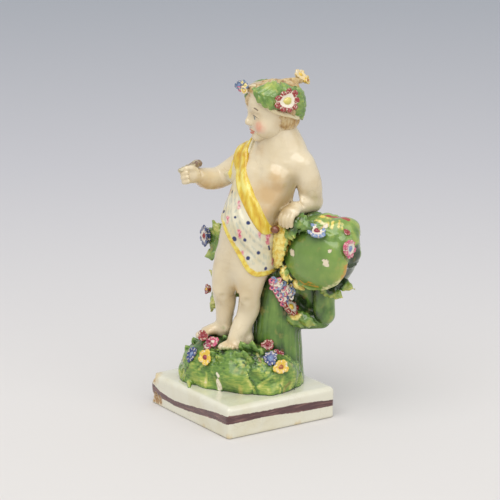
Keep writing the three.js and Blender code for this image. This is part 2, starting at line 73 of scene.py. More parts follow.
def oval_gap(x, y, z, wide, thick, long):
    """How far points lie outside an egg shape round the origin, from its three half sizes."""
    near = np.sqrt((x / wide) ** 2 + (y / thick) ** 2 + (z / long) ** 2)
    slope = np.sqrt((x / wide**2) ** 2 + (y / thick**2) ** 2 + (z / long**2) ** 2)
    return near * (near - 1) / np.maximum(slope, 1e-5)


def limb(stations, deep=(0, 1, 0), steps=3):
    """A rolled length of clay through stations of x, y, z, half width and half depth. It is as deep as
    its last number says towards `deep`, and round where that number is left out."""
    rows = smooth_line([list(s) + [s[3]] * (5 - len(s)) for s in stations], steps)
    strokes = []
    for start, end in zip(rows, rows[1:]):
        length = max(np.linalg.norm(end[:3] - start[:3]), 1e-6)
        along = (end[:3] - start[:3]) / length
        across = unit(np.cross(along, deep))
        inward = np.cross(across, along)
        reach = max(start[3:].max(), end[3:].max())

        def gap(x, y, z, start=start, end=end, length=length, along=along, across=across, inward=inward):
            x, y, z = x - start[0], y - start[1], z - start[2]
            t = np.clip((x * along[0] + y * along[1] + z * along[2]) / length, 0, 1)
            wide = start[3] + (end[3] - start[3]) * t
            thick = start[4] + (end[4] - start[4]) * t
            t = t * length
            x, y, z = x - along[0] * t, y - along[1] * t, z - along[2] * t
            if abs(start[3] - start[4]) + abs(end[3] - end[4]) < 0.1:
                return np.sqrt(x * x + y * y + z * z) - wide
            side = x * across[0] + y * across[1] + z * across[2]
            depth = x * inward[0] + y * inward[1] + z * inward[2]
            past = x * along[0] + y * along[1] + z * along[2]
            return oval_gap(side, depth, past, wide, thick, np.minimum(wide, thick))

        low = np.minimum(start[:3], end[:3]) - reach
        strokes.append((low, np.maximum(start[:3], end[:3]) + reach, gap))
    return strokes


def ball(centre, wide, deep=None, high=None):
    """A pellet of clay with its half sizes along X, Y and Z."""
    centre = np.array(centre, float)
    half = np.array([wide, deep or wide, high or wide], float)

    def gap(x, y, z):
        return oval_gap(x - centre[0], y - centre[1], z - centre[2], *half)

    return [(centre - half, centre + half, gap)]


lumps_of_clay = []  # where there is clay, for the pooled glaze and the painted shade in the hollows at the end


class Clay:
    """A block of space round one piece that knows how far each of its points lies outside the clay.
    Clay is added or cut away one form at a time, and each join is softened as wet slip softens it."""

    def __init__(self, low, high, cell):
        self.cell = cell
        counts = [int(math.ceil((h - l) / cell)) + 1 for l, h in zip(low, high)]
        self.axes = [l + cell * np.arange(n, dtype=np.float32) for l, n in zip(low, counts)]
        self.gap = np.full(counts, 8.0, np.float32)

    def around(self, low, high):
        """The part of the block between two corners, and the coordinates of its points."""
        spans = []
        for axis, l, h in zip(self.axes, low, high):
            first = int(np.searchsorted(axis, l))
            spans.append(slice(first, max(first, int(np.searchsorted(axis, h)))))
        x, y, z = (axis[span] for axis, span in zip(self.axes, spans))
        return tuple(spans), (x[:, None, None], y[None, :, None], z[None, None, :])

    def measured(self, form, soften):
        """How far the points near a form lie outside it, and where in the block they are."""
        margin = soften + 2.5 * self.cell
        low = np.min([stroke[0] for stroke in form], axis=0) - margin
        high = np.max([stroke[1] for stroke in form], axis=0) + margin
        whole, _ = self.around(low, high)
        own = np.full([max(s.stop - s.start, 0) for s in whole], 8.0, np.float32)
        for low, high, gap in form:
            part, (x, y, z) = self.around(low - margin, high + margin)
            inner = tuple(slice(p.start - w.start, p.stop - w.start) for p, w in zip(part, whole))
            if own[inner].size:
                own[inner] = np.minimum(own[inner], gap(x, y, z))
        return whole, own

    def add(self, form, soften=0.6):
        where, own = self.measured(form, soften)
        here = self.gap[where]
        bridge = np.maximum(soften - np.abs(here - own), 0)
        self.gap[where] = np.minimum(here, own) - bridge**2 / (4 * max(soften, 1e-6))
        return self

    def cut(self, form, soften=0.4):
        where, own = self.measured(form, soften)
        here = self.gap[where]
        bridge = np.maximum(soften - np.abs(here + own), 0)
        self.gap[where] = np.maximum(here, -own) + bridge**2 / (4 * max(soften, 1e-6))
        return self

    def skin(self, settle=1):
        """The points and the four-sided faces of the clay's skin."""
        inside = self.gap < 0
        corners = [(i, j, k) for i in (0, 1) for j in (0, 1) for k in (0, 1)]
        nx, ny, nz = inside.shape
        count = sum(
            inside[i : nx - 1 + i, j : ny - 1 + j, k : nz - 1 + k].astype(np.uint8)
            for i, j, k in corners
        )
        crossed = (count > 0) & (count < 8)
        cells = np.argwhere(crossed)
        number = np.full(crossed.shape, -1, np.int64)
        number[crossed] = np.arange(len(cells))
        values = np.stack([self.gap[tuple((cells + c).T)] for c in corners], axis=1)
        total, found = np.zeros((len(cells), 3)), np.zeros(len(cells))
        for a in range(8):
            for b in range(a + 1, 8):
                step = np.subtract(corners[b], corners[a])
                if np.abs(step).sum() != 1:
                    continue
                first, second = values[:, a], values[:, b]
                crossing = (first < 0) != (second < 0)
                share = np.where(crossing, first / np.where(crossing, first - second, 1), 0)
                total += crossing[:, None] * (np.array(corners[a]) + share[:, None] * step)
                found += crossing
        low = np.array([axis[0] for axis in self.axes])
        points = low + self.cell * (cells + total / found[:, None])
        faces = []
        for axis in range(3):
            one, two = (np.eye(3, dtype=int)[(axis + i) % 3] for i in (1, 2))
            ahead = tuple(slice(1, None) if i == axis else slice(None) for i in range(3))
            behind = tuple(slice(None, -1) if i == axis else slice(None) for i in range(3))
            at = np.argwhere(inside[ahead] != inside[behind])
            at = at[np.all((at - one - two) >= 0, axis=1)]
            at = at[np.all(at < np.array(crossed.shape), axis=1)]
            ring = [number[tuple((at - shift).T)] for shift in (0 * one, one, one + two, two)]
            quads = np.stack(ring, axis=1)
            solid_first = inside[tuple(at.T)]
            quads[~solid_first] = quads[~solid_first][:, ::-1]
            faces.append(quads[np.all(quads >= 0, axis=1)])
        faces = np.vstack(faces)
        kept = self.gap[::2, ::2, ::2] < 0
        grid = np.argwhere(kept) * 2 * self.cell + low
        lumps_of_clay.append((grid, (2 * self.cell) ** 3))
        return settled(points, faces, settle), faces


def neighbours(faces):
    ends = np.vstack([faces[:, [i, (i + 1) % 4]] for i in range(4)])
    return np.vstack([ends, ends[:, ::-1]])


def settled(points, faces, times, share=0.5):
    """Points moved towards the middle of their neighbours, as a wet surface settles."""
    ends = neighbours(faces)
    count = np.maximum(np.bincount(ends[:, 0], minlength=len(points)), 1)
    for _ in range(times):
        middle = [
            np.bincount(ends[:, 0], weights=points[ends[:, 1], i], minlength=len(points)) / count
            for i in range(3)
        ]
        points = points + share * (np.stack(middle, axis=1) - points)
    return points


def line_gap(points, line):
    """How far each point lies from a line of points. A fourth number in the line is its half width."""
    line = np.array(line, float)
    nearest = np.full(len(points), 99.0)
    for start, end in zip(line, line[1:]):
        along = end[:3] - start[:3]
        t = np.clip((points - start[:3]) @ along / max(along @ along, 1e-9), 0, 1)
        reach = np.linalg.norm(points - start[:3] - t[:, None] * along, axis=1)
        if line.shape[1] > 3:
            reach = reach - (start[3] + (end[3] - start[3]) * t)
        nearest = np.minimum(nearest, reach)
    return nearest


def nearest_of(gaps):
    return np.min(list(gaps), axis=0)


def nearest_line(points, lines):
    """How far each point lies from the nearest of several lines."""
    return nearest_of(line_gap(points, line) for line in lines)


def turned(points, angle=CHILD_TURN):
    """Points of the child's own directions, in the plinth's."""
    c, s = math.cos(angle), math.sin(angle)
    x, y, z = np.array(points, float).T
    return np.stack([c * x - s * y, s * x + c * y, z], axis=1)


finished = []  # every finished piece, for the same glaze


def piece(name, points, faces, material, painted=None, own_turn=True):
    """A finished piece in the scene. painted holds what the brush follows: one number or colour a point."""
    placed = turned(points) if own_turn else points
    mesh = bpy.data.meshes.new(name)
    mesh.from_pydata(placed / 1000, [], faces)
    mesh.polygons.foreach_set("use_smooth", np.ones(len(faces), bool))
    for label, values in (painted or {}).items():
        values = np.asarray(values, np.float32)
        if values.ndim == 1:
            mesh.attributes.new(label, "FLOAT", "POINT").data.foreach_set("value", values)
        else:
            paint = np.hstack([values, np.ones((len(values), 1), np.float32)]).ravel()
            mesh.attributes.new(label, "FLOAT_COLOR", "POINT").data.foreach_set("color", paint)
    mesh.materials.append(material)
    made = bpy.data.objects.new(name, mesh)
    bpy.context.scene.collection.objects.link(made)
    finished.append(made)
    return made


def colour(red, green, blue):
    """A paint colour as the eye names it, from 0 to 255, as the shader wants it."""
    shares = [c / 255 for c in (red, green, blue)]
    return tuple(s / 12.92 if s < 0.04 else ((s + 0.055) / 1.055) ** 2.4 for s in shares) + (1.0,)


class Paint:
    """A shader's nodes, with short ways to place and join them."""

    def __init__(self, tree):
        self.tree = tree

    def join(self, value, socket):
        self.tree.links.new(value, socket)

    def fed(self, node, inputs, out):
        """One output of a node, once its inputs are linked or set in their order."""
        for socket, value in zip(node.inputs, inputs):
            if isinstance(value, bpy.types.NodeSocket):
                self.join(value, socket)
            elif value is not None:
                socket.default_value = value
        return node.outputs[out]

    def place(self, kind, *inputs, out=0, **settings):
        node = self.tree.nodes.new("ShaderNode" + kind)
        for name, value in settings.items():
            setattr(node, name, value)
        return self.fed(node, inputs, out)

    def group(self, effect, *inputs, out=0):
        node = self.tree.nodes.new("ShaderNodeGroup")
        node.node_tree = effect
        return self.fed(node, inputs, out)

    def millimetres(self):
        where = self.place("TexCoord", out=3)
        return self.place("VectorMath", where, None, None, 1000.0, operation="SCALE")

    def noise(self, where, scale, detail=2.0):
        return self.place("TexNoise", where, None, scale, detail)

    def stretched(self, where, size):
        return self.place("VectorMath", where, size, operation="MULTIPLY")

    def sum(self, first, second):
        return self.place("Math", first, second, operation="ADD")

    def times(self, first, second):
        return self.place("Math", first, second, operation="MULTIPLY")

    def rise(self, value, low, high):
        return self.place("MapRange", value, low, high, interpolation_type="SMOOTHSTEP")

    def mix(self, share, first, second):
        blank = [None] * 5
        return self.place("Mix", share, *blank, first, second, out=2, data_type="RGBA")

    def ramp(self, value, stops):
        socket = self.place("ValToRGB", value)
        elements = socket.node.color_ramp.elements
        while len(elements) < len(stops):
            elements.new(0.5)
        for element, (place, shade) in zip(elements, stops):
            element.position, element.color = place, colour(*shade)
        return socket

    def brushed(self, label, out=2):
        """What the brush follows on a piece, by the name that the piece gave it."""
        return self.place("Attribute", out=out, attribute_name=label)

    def clouded(self, where, scale, low, high, first, second, detail=3.0):
        """One paint that turns into another in soft clouds."""
        return self.mix(self.rise(self.noise(where, scale, detail), low, high), first, second)

    def marked(self, label, wobble, softness, below, above, strength=1.0):
        """Brush marks over what is painted already. Gaps are measured from the marks that label names."""
        mark = self.group(brush_edge, self.brushed(label), wobble, softness)
        if strength < 1:
            mark = self.times(mark, strength)
        return self.mix(mark, below, above)

    def pooled_and_shaded(self, low, high, strength, below, above):
        """Glaze that has run together in the hollows, and painted shade that darkens them."""
        pool_and_shade = self.times(self.rise(self.brushed("pooled_glaze_and_shade"), low, high), strength)
        return self.mix(pool_and_shade, below, above)


def effect(name, inputs, outputs):
    """An empty node group with named inputs and outputs, its paint, its inputs and its output node."""
    tree = bpy.data.node_groups.new(name, "ShaderNodeTree")
    for label, kind, value in inputs:
        socket = tree.interface.new_socket(label, in_out="INPUT", socket_type="NodeSocket" + kind)
        socket.default_value = value
    for label, kind in outputs:
        tree.interface.new_socket(label, in_out="OUTPUT", socket_type="NodeSocket" + kind)
    given = tree.nodes.new("NodeGroupInput").outputs
    return tree, Paint(tree), given, tree.nodes.new("NodeGroupOutput").inputs


def glazed(name, roughness=0.2, coat=0.6):
    """A material for glazed ware, its paint and its shader."""
    material = bpy.data.materials.new(name)
    material.use_nodes = True
    shader = material.node_tree.nodes["Principled BSDF"]
    shader.inputs["Roughness"].default_value = roughness
    shader.inputs["IOR"].default_value = 1.5
    shader.inputs["Coat Weight"].default_value = coat
    shader.inputs["Coat Roughness"].default_value = 0.12
    return material, Paint(material.node_tree), shader


def dipped(paint, shader, paint_colour, uneven=1.0, relief=None):
    """Joins a colour to the shader under the uneven skin of the glaze. relief is a height in mm."""
    height = paint.group(glaze_skin, uneven)
    if relief is not None:
        height = paint.sum(height, relief)
    bump = paint.place("Bump", 1.0, 0.001)
    paint.join(height, bump.node.inputs["Height"])
    paint.join(bump, shader.inputs["Normal"])
    paint.join(paint_colour, shader.inputs["Base Color"])


# The glaze lies a little thicker and thinner all over, so highlights wander.
glaze_skin, paint, given, to = effect(
    "glaze_skin", [("Unevenness", "Float", 1.0)], [("Height", "Float"), ("Crazing", "Float")]
)
where = paint.millimetres()
swell = paint.times(paint.noise(where, 0.16, 2.0), 0.22)
grain = paint.times(paint.noise(where, 0.9, 2.0), 0.035)
paint.join(paint.times(paint.sum(swell, grain), given["Unevenness"]), to["Height"])
warped = paint.place("VectorMath", where, paint.noise(where, 0.3), operation="ADD")
edge = paint.place("TexVoronoi", warped, None, 0.22, feature="DISTANCE_TO_EDGE")
fading = paint.rise(paint.noise(where, 0.07, 1.0), 0.45, 0.62)
paint.join(paint.times(paint.rise(edge, 0.02, 0.006), fading), to["Crazing"])


# A painted patch ends in an edge that the hand and the running glaze make a little uneven.
brush_edge, paint, given, to = effect(
    "brush_edge",
    [("Gap", "Float", 1.0), ("Wobble", "Float", 0.3), ("Softness", "Float", 0.15)],
    [("Mask", "Float")],
)
wander = paint.sum(paint.noise(paint.millimetres(), 0.55, 2.0), -0.5)
gap = paint.sum(given["Gap"], paint.times(wander, paint.times(given["Wobble"], 2.0)))
soft = given["Softness"]
paint.join(paint.rise(gap, soft, paint.times(soft, -1.0)), to["Mask"])

CRAZING = colour(150, 118, 84)


def crazed(paint, ware):
    """Fine brown cracks in the clear glaze, here and there."""
    return paint.mix(paint.times(paint.group(glaze_skin, 1.0, out=1), 0.16), ware, CRAZING)


def slab_gap(x, y, z):
    """The plinth: a slab with rounded corners and edges, a little uneven on top."""
    side_x = np.abs(x) - (PLINTH_SIDES[0] - PLINTH_CORNER)
    side_y = np.abs(y) - (PLINTH_SIDES[1] - PLINTH_CORNER)
    past = np.sqrt(np.maximum(side_x, 0) ** 2 + np.maximum(side_y, 0) ** 2)
    plan = past + np.minimum(np.maximum(side_x, side_y), 0) - PLINTH_CORNER
    sag = 0.25 * np.sin(x / 13 + 0.8) * np.cos(y / 11)  # the slab was pressed by hand
    out, up = plan + PLINTH_EDGE + 0.12 * np.sin(z / 2.6), z + sag - (PLINTH_HEIGHT - PLINTH_EDGE)
    over = np.sqrt(np.maximum(out, 0) ** 2 + np.maximum(up, 0) ** 2)
    rounded = over + np.minimum(np.maximum(out, up), 0) - PLINTH_EDGE
    bridge = np.maximum(1.0 - np.abs(rounded + z), 0)
    return np.maximum(rounded, -z) + bridge**2 / 4


def broken(form, roughness=0.45):
    """The same form with the rough face of a break."""

    def rough(gap):
        return lambda x, y, z: gap(x, y, z) + roughness * (
            np.sin(1.9 * x + 1.1 * z) * np.sin(2.3 * y - 0.7 * z) + 0.5 * np.sin(4.1 * z + 2.7 * x)
        )

    return [(low, high, rough(gap)) for low, high, gap in form]


chipped_corner = np.array([-PLINTH_SIDES[0], -PLINTH_SIDES[1], 0])
lower_chip = broken(ball(chipped_corner + [3.4, -0.9, 2.9], 6.4, 2.4, 2.7))
upper_chip = broken(ball(chipped_corner + [-0.6, -0.8, 12.2], 4.4, 3.4, 3.2))
clay = Clay((-33.5, -30, -1.5), (33.5, 30, 16.5), 0.5)
clay.add([(np.array([-33, -29, -1]), np.array([33, 29, 16]), slab_gap)], 0)
clay.cut(lower_chip, 0.3).cut(upper_chip, 0.3)
vent_top = VENT_DEPTH - VENT_RADIUS
clay.cut(limb([(VENT_X, VENT_Y, -3, VENT_RADIUS), (VENT_X, VENT_Y, vent_top, VENT_RADIUS)]), 0.5)
points, faces = clay.skin()
lumps_of_clay.clear()  # the plinth stands square to itself, unlike all that is stuck on it
x, y, z = points.T
line_height = np.where(
    np.abs(y / PLINTH_SIDES[1]) > np.abs(x / PLINTH_SIDES[0]),
    np.where(
        y < 0,
        np.interp(x, [-31, -24, -12, -2, 20, 31], [7.4, 5.6, 4.8, 5.4, 7.9, 8.4]),
        np.interp(x, [-31, 31], [5.6, 6.8]),
    ),
    np.where(
        x > 0,
        np.interp(y, [-27, 0, 27], [8.7, 8.1, 6.8]),
        np.interp(y, [-27, 27], [7.0, 5.6]),
    ),
)
line_half = np.interp(x - 0.4 * y, [-20, -13, -5, 8, 42], [2.5, 1.5, 1.15, 1.3, 1.8])
line_half = np.where(x > 30.9, 1.65 + 0.25 * np.sin(y / 6), line_half)
breaks = np.minimum(*(chip[0][2](x, y, z) for chip in (lower_chip, upper_chip)))

PLINTH_CREAM = colour(227, 223, 203)
PLINTH_CREAM_THICK = colour(220, 213, 186)
PLINTH_STAIN = colour(214, 190, 138)
BRUSH_LINE = colour(84, 48, 50)
BRUSH_LINE_THIN = colour(136, 96, 88)
BISCUIT = colour(196, 160, 112)
BISCUIT_STAIN = colour(140, 98, 62)
GREEN_RUN = colour(132, 156, 72)
material, paint, shader = glazed("cream_glaze_with_brush_line", 0.22)
where = paint.millimetres()
ware = paint.clouded(where, 0.09, 0.42, 0.75, PLINTH_CREAM, PLINTH_CREAM_THICK)
ware = paint.marked("worn", 2.0, 1.6, ware, PLINTH_STAIN, 0.8)
ware = crazed(paint, ware)
ware = paint.marked("green_run", 0.8, 0.7, ware, GREEN_RUN, 0.8)
thin = paint.noise(paint.stretched(where, (0.12, 0.12, 1.6)), 1.0, 3.0)
line_paint = paint.mix(paint.rise(thin, 0.45, 0.75), BRUSH_LINE, BRUSH_LINE_THIN)
ware = paint.marked("line", 0.35, 0.14, ware, line_paint)
spots = paint.clouded(where, 0.9, 0.4, 0.7, BISCUIT, BISCUIT_STAIN)
bare = paint.group(brush_edge, paint.brushed("break"), 0.1, 0.25)
ware = paint.mix(bare, ware, spots)
dipped(paint, shader, ware)
rough = paint.sum(paint.times(bare, 0.5), 0.2)
paint.join(rough, shader.inputs["Roughness"])
coat = paint.place("Math", 0.6, paint.times(bare, 0.6), operation="SUBTRACT")
paint.join(coat, shader.inputs["Coat Weight"])

WORN_PLACES = [
    # x, y, z and how far each one reaches
    (-29, -27, 12.4, 3.6), (-24, -27.8, 1.6, 1.6), (31.4, -27.4, 1.0, 1.2), (31.5, 8, 0.6, 1.0),
    (12, -27.8, 0.7, 0.9),
]
worn_gap = nearest_of(
    np.linalg.norm((points - place) * [1, 1, 1.2], axis=1) - reach for *place, reach in WORN_PLACES
)
runs = [(-22, -7, 12), (-23.5, -10.5, 14)], [(-6, -21, 13), (-6.4, -22.6, 14)], [(22, 6, 14), (24, 8, 14)]
run_gap = nearest_line(points, runs) - 0.8
painted = {"line": np.abs(z - line_height) - line_half, "break": breaks - 0.15}
painted |= {"worn": worn_gap, "green_run": np.where(z > 12, run_gap, 9)}
plinth = piece("plinth", points, faces, material, painted, own_turn=False)
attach(plinth, "root")
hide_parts("pearlware_figure")


# The mound: a low hill of clay that the child and the stump stand on, covered in blades of grass that
# were cut and pressed in the mould. Green glaze was brushed over it in streaks, so the cream ware shows
# between the strokes low down, and it lies deep green where it ran together.

MOUND_REACH = [27.2, 26.8, 26, 23, 20.5, 21, 24, 27, 28.5, 28.5, 26, 21.5, 19.5, 19.5, 22, 26.4]
MOUND_RISE = 18.6
BLADES = 760
SCORED_LINES = 90
seed = np.random.default_rng(19)


def mound_reach(angle):
    """How far the skirt reaches from the middle, at an angle round from the child's left."""
    place = (angle / (2 * math.pi)) % 1 * len(MOUND_REACH)
    around = np.append(MOUND_REACH, MOUND_REACH[0])
    before = np.floor(place).astype(int)
    ease = (1 - np.cos(math.pi * (place - before))) / 2
    return around[before] * (1 - ease) + around[before + 1] * ease


def mound_gap(x, y, z):
    lean = np.clip((z - 20) / 12, 0, 1) * 0.6  # the summit lies a little forward
    x, y = x + 0.5 * lean, y + 2 * lean
    share = np.sqrt(x * x + y * y) / mound_reach(np.arctan2(y, x))
    rise = np.clip((z - PLINTH_HEIGHT + 1) / MOUND_RISE, 0, 3)
    lumps = 0.5 * np.sin(x / 3.1 + z / 2.4) * np.sin(y / 3.4 - z / 2.9)
    lumps = lumps + 0.24 * np.sin(x / 1.2 + z / 1.9 + np.sin(y / 2.3)) * np.sin(z / 1.1 - y / 1.6)
    return ((share**3.2 + rise**2.4) ** (1 / 2.8) - 1) * 17 + lumps


def mound_point(angle, share, lift=0.0):
    """A point of the mound's skin, from the angle and its share of the way out to the skirt."""
    rise = max(1 - share**3.2, 0) ** (1 / 2.4) * MOUND_RISE
    reach = float(mound_reach(np.array(angle))) * share + lift * share
    height = PLINTH_HEIGHT - 1 + rise + lift * (1 - share**4)
    return np.array([reach * math.cos(angle), reach * math.sin(angle) - (1 - share) * 2, height])


def nearest_stroke(points, strokes):
    """How far each point lies from the nearest stroke of a brush or tool, and that stroke's number."""
    near, which = np.full(len(points), 9.0), np.zeros(len(points), int)
    for number, line in enumerate(strokes):
        line = np.array(line, float)
        low, high = line[:, :3].min(0) - 2.2, line[:, :3].max(0) + 2.2
        here = np.nonzero(np.all((points > low) & (points < high), axis=1))[0]
        gap = line_gap(points[here], line)
        closer = gap < near[here]
        near[here[closer]], which[here[closer]] = gap[closer], number
    return near, which


clay = Clay((-32, -32, 12), (32, 32, 37), 0.38)
clay.add([(np.array([-31, -31, 12.4]), np.array([31, 31, 33]), mound_gap)], 0)
KNOLLS = [
    # x, y, z, half sizes across, deep and high, how softly each one joins
    (-11, -5.5, 26, 8, 8.5, 7.6, 3), (3.6, -8.5, 24.6, 7, 7, 7.4, 3), (-15.5, -11, 22, 6.5, 6, 6.4, 2.5),
    (19, -3.5, 22.4, 6.4, 5, 6.6, 2.5), (6, -14.6, 20.4, 8.4, 5.4, 5, 2.5), (21.5, 0.5, 20, 5.4, 5.6, 6, 3),
    (9.6, -9.6, 25.4, 4.6, 4, 4.2, 1.4), (-12, -15.4, 20.4, 5, 4.6, 4.8, 1.8),
]
for *place, wide, deep, high, soften in KNOLLS:
    clay.add(ball(place, wide, deep, high), soften)
blades = []
for blade in range(BLADES):
    # blades stand up the skirt, sweep across the middle and hang over the brow of the hill
    angle, share = seed.uniform(0, 2 * math.pi), seed.uniform(0.2, 1.0) ** 0.62
    sweep = seed.uniform(-0.1, 0.1) if seed.random() < 0.3 else seed.uniform(-0.34, 0.34)
    fall = seed.uniform(0.02, 0.06) if share > 0.86 else seed.uniform(0.03, 0.12)
    thick = seed.uniform(0.26, 0.6) if share < 0.9 else seed.uniform(0.12, 0.26)
    stations = []
    for t, swell in ((0, 0.5), (0.35, 1.0), (0.7, 0.8), (1, 0.2)):
        place = mound_point(angle + sweep * t, min(share + fall * t * t, 1.02), 0.2)
        if share > 0.93:
            place = place + [0, 0, 2.4 * (0.5 - t)]
        stations.append((*place, thick * swell))
    blades.append(stations)
    clay.add(limb(stations, steps=2), 0.35)
for groove in range(SCORED_LINES):
    # fine strokes of a pointed tool between the blades, where the glaze gathers
    angle, share = seed.uniform(0, 2 * math.pi), seed.uniform(0.5, 0.94)
    sweep, fall = seed.uniform(-0.4, 0.4), seed.uniform(-0.05, 0.1)
    stations = [
        (*mound_point(angle + sweep * t, share + fall * t, 0.3), 0.22 - 0.16 * t)
        for t in (0, 0.3, 0.6, 1)
    ]
    clay.cut(limb(stations, steps=2), 0.35)
# a run of glaze that hangs over the skirt
clay.add(limb([(-14.2, -19.0, 14.8, 1.3), (-12.6, -21.2, 14.0, 1.0), (-10.8, -23.4, 13.8, 0.8)]), 0.8)
tufts = [
    # stem, tip, half width: leaves that stand up beside the feet
    ((10.0, -8.0, 29.5), (8.2, -11.6, 35.4), 2.4), ((12.6, -6.5, 29), (12.8, -9.2, 36.0), 2.5),
    ((11.4, -10, 27), (10.6, -13.2, 32.2), 2.1), ((15.5, -5.5, 28), (16.4, -7.6, 33), 1.8),
    ((8.6, -11, 27), (7.0, -14.2, 31.4), 1.9), ((13.4, -10, 25.4), (14, -12.8, 30), 1.9),
    ((0.8, -4, 31), (-1.2, -6.4, 37.4), 1.6), ((-2, -5, 31), (-3.6, -8.4, 35.4), 1.5),
    ((-4, -3, 31), (-5, -5.6, 34.6), 1.2), ((-18.5, -6, 26.5), (-20.6, -8.4, 31.5), 1.9),
    ((-20, -9, 24), (-22.6, -11, 28), 1.7), ((-3, -13.6, 26), (-4.4, -17.2, 30.2), 2.0),
    ((0.4, -14, 25.6), (0.4, -17.6, 29.2), 1.9), ((-6, -14.6, 25), (-8, -18.0, 28), 1.7),
]
for stem, tip, wide in tufts:
    middle = (np.array(stem) + tip) / 2 + [0, -1.0, 0.6]
    blade = limb([(*stem, wide * 0.8, 1.3), (*middle, wide, 1.1), (*tip, 0.4, 0.4)], (0, -1, 0.6), 4)
    clay.add(blade, 0.6)
    clay.cut(limb([(*stem, 0.25), (*(middle + [0, -1.2, 0.5]), 0.3), (*tip, 0.1)], steps=3), 0.3)
points, faces = clay.skin()

# Green glaze from a loaded brush: cream and yellow-green where it is thin, deep green where it is thick.
green_wash, paint, given, to = effect(
    "green_wash",
    [
        ("Thickness", "Float", 0.0), ("Streaks", "Vector", (0.3, 0.3, 0.3)), ("Ochre", "Float", 0.3),
        ("Swing", "Float", 1.0),
    ],
    [("Paint", "Color")],
)
where = paint.millimetres()
cloud = paint.noise(where, 0.13, 3.0)
streak = paint.noise(paint.stretched(where, given["Streaks"]), 1.0, 4.0)
# darker in the hollows, for pooled glaze and painted shade there
pool_and_shade = paint.times(paint.brushed("pooled_glaze_and_shade"), 0.34)
amount = paint.sum(paint.times(cloud, 0.75), paint.times(streak, 0.95))
amount = paint.sum(paint.times(paint.sum(amount, -0.85), given["Swing"]), 0.49)
amount = paint.sum(amount, paint.sum(pool_and_shade, given["Thickness"]))
greens = paint.ramp(
    amount,
    [
        (0.0, (226, 214, 166)), (0.2, (200, 198, 108)), (0.38, (160, 176, 80)),
        (0.56, (118, 150, 66)), (0.76, (84, 118, 48)), (1.0, (44, 64, 30)),
    ],
)
patches = paint.rise(paint.noise(where, 0.28, 3.0), 0.56, 0.72)
greens = paint.mix(paint.times(patches, given["Ochre"]), greens, colour(172, 152, 80))
paint.join(greens, to["Paint"])

material, paint, shader = glazed("brushed_grass_green", 0.17, 0.12)
grass = paint.group(green_wash, paint.brushed("thickness"), (0.4, 0.4, 1.3), 0.3, 0.8)
ochre = paint.clouded(
    paint.millimetres(), 0.5, 0.4, 0.6, colour(202, 176, 96), colour(150, 118, 66), 2.0
)
grass = paint.mix(paint.times(paint.brushed("ochre_strokes"), 0.5), grass, ochre)
bare = paint.group(brush_edge, paint.brushed("bare"), 0.3, 0.25)
grass = paint.mix(bare, grass, colour(236, 226, 200))
dipped(paint, shader, grass, 0.8, paint.times(paint.noise(paint.millimetres(), 0.45, 3.0), 0.2))

x, y, z = points.T
near, which = nearest_stroke(points, blades)
TONES = [-0.3, -0.16, -0.05, 0.06, 0.16, 0.3]  # how much more or less glaze a blade has
tones = seed.choice(TONES, len(blades), p=[0.12, 0.18, 0.2, 0.2, 0.17, 0.13])
ochre_blades = seed.random(len(blades)) < 0.07
touch = np.clip(1.1 - near, 0, 1)
skirt = np.clip((20 - z) / 4.5, 0, 1)
thickness = 0.2 - 0.27 * skirt + 0.16 * np.clip((z - 26) / 6, 0, 1) + 0.3 * (z < 14.4)
thickness = thickness + tones[which] * touch
flakes = nearest_line(points, [
    [(1.2, -19.2, 21.8, 0.5), (2.4, -19.6, 20.8, 0.7)],
    [(2.0, -19.4, 18.6, 1.0), (2.3, -19.0, 16.6, 1.5), (2.7, -19.2, 15.2, 1.1)],
])
painted = {"thickness": thickness, "bare": flakes, "ochre_strokes": ochre_blades[which] * touch}
grassy = piece("grassy_mound", points, faces, material, painted)
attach(grassy, "root")
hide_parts("pearlware_figure")


# The stump: a short trunk rolled by hand and stroked upwards with a wet tool, luted on to the mound
# behind the left leg. One bough carries the horn, and two flat sprays reach behind the hips. The glaze is
# deep green with upright streaks, and ochre where it is thin.


def leaf(stem, tip, shows, wide, thick=1.3, arch=1.2, veins=0.16, sharp=0.5):
    """A pointed leaf of clay from a small mould, with a midrib and side veins. shows is the way that its
    face looks, and a higher number for sharp makes it narrower towards its ends."""
    stem, tip = np.array(stem, float), np.array(tip, float)
    length = np.linalg.norm(tip - stem)
    along = (tip - stem) / length
    across = unit(np.cross(along, shows))
    out = np.cross(across, along)
    out = out * np.sign(out @ np.array(shows, float))

    def gap(x, y, z):
        x, y, z = x - stem[0], y - stem[1], z - stem[2]
        a = x * along[0] + y * along[1] + z * along[2]
        c = x * across[0] + y * across[1] + z * across[2]
        n = x * out[0] + y * out[1] + z * out[2]
        t = np.clip(a / length, 0, 1)
        half = wide / 2 * np.clip(
            np.maximum(np.sin(math.pi * t**0.8), 0) ** sharp * (1.12 - 0.3 * t), 0.08, 2
        )
        half = half + 0.25 * np.sin(a * 2.4)
        n = n - arch * 4 * t * (1 - t) + 0.5 * (c / half) ** 2
        past = a - t * length
        own = oval_gap(c, n, past, half, thick * (0.55 + 0.45 * half / wide * 2), 0.8)
        chevrons = veins * np.cos(2 * math.pi * (a + 0.9 * np.abs(c)) / 2.1)
        return own - chevrons - 0.3 * np.exp(-((c / 0.45) ** 2)) * (t < 0.9)

    reach = wide / 2 + thick + arch
    return [(np.minimum(stem, tip) - reach, np.maximum(stem, tip) + reach, gap)]


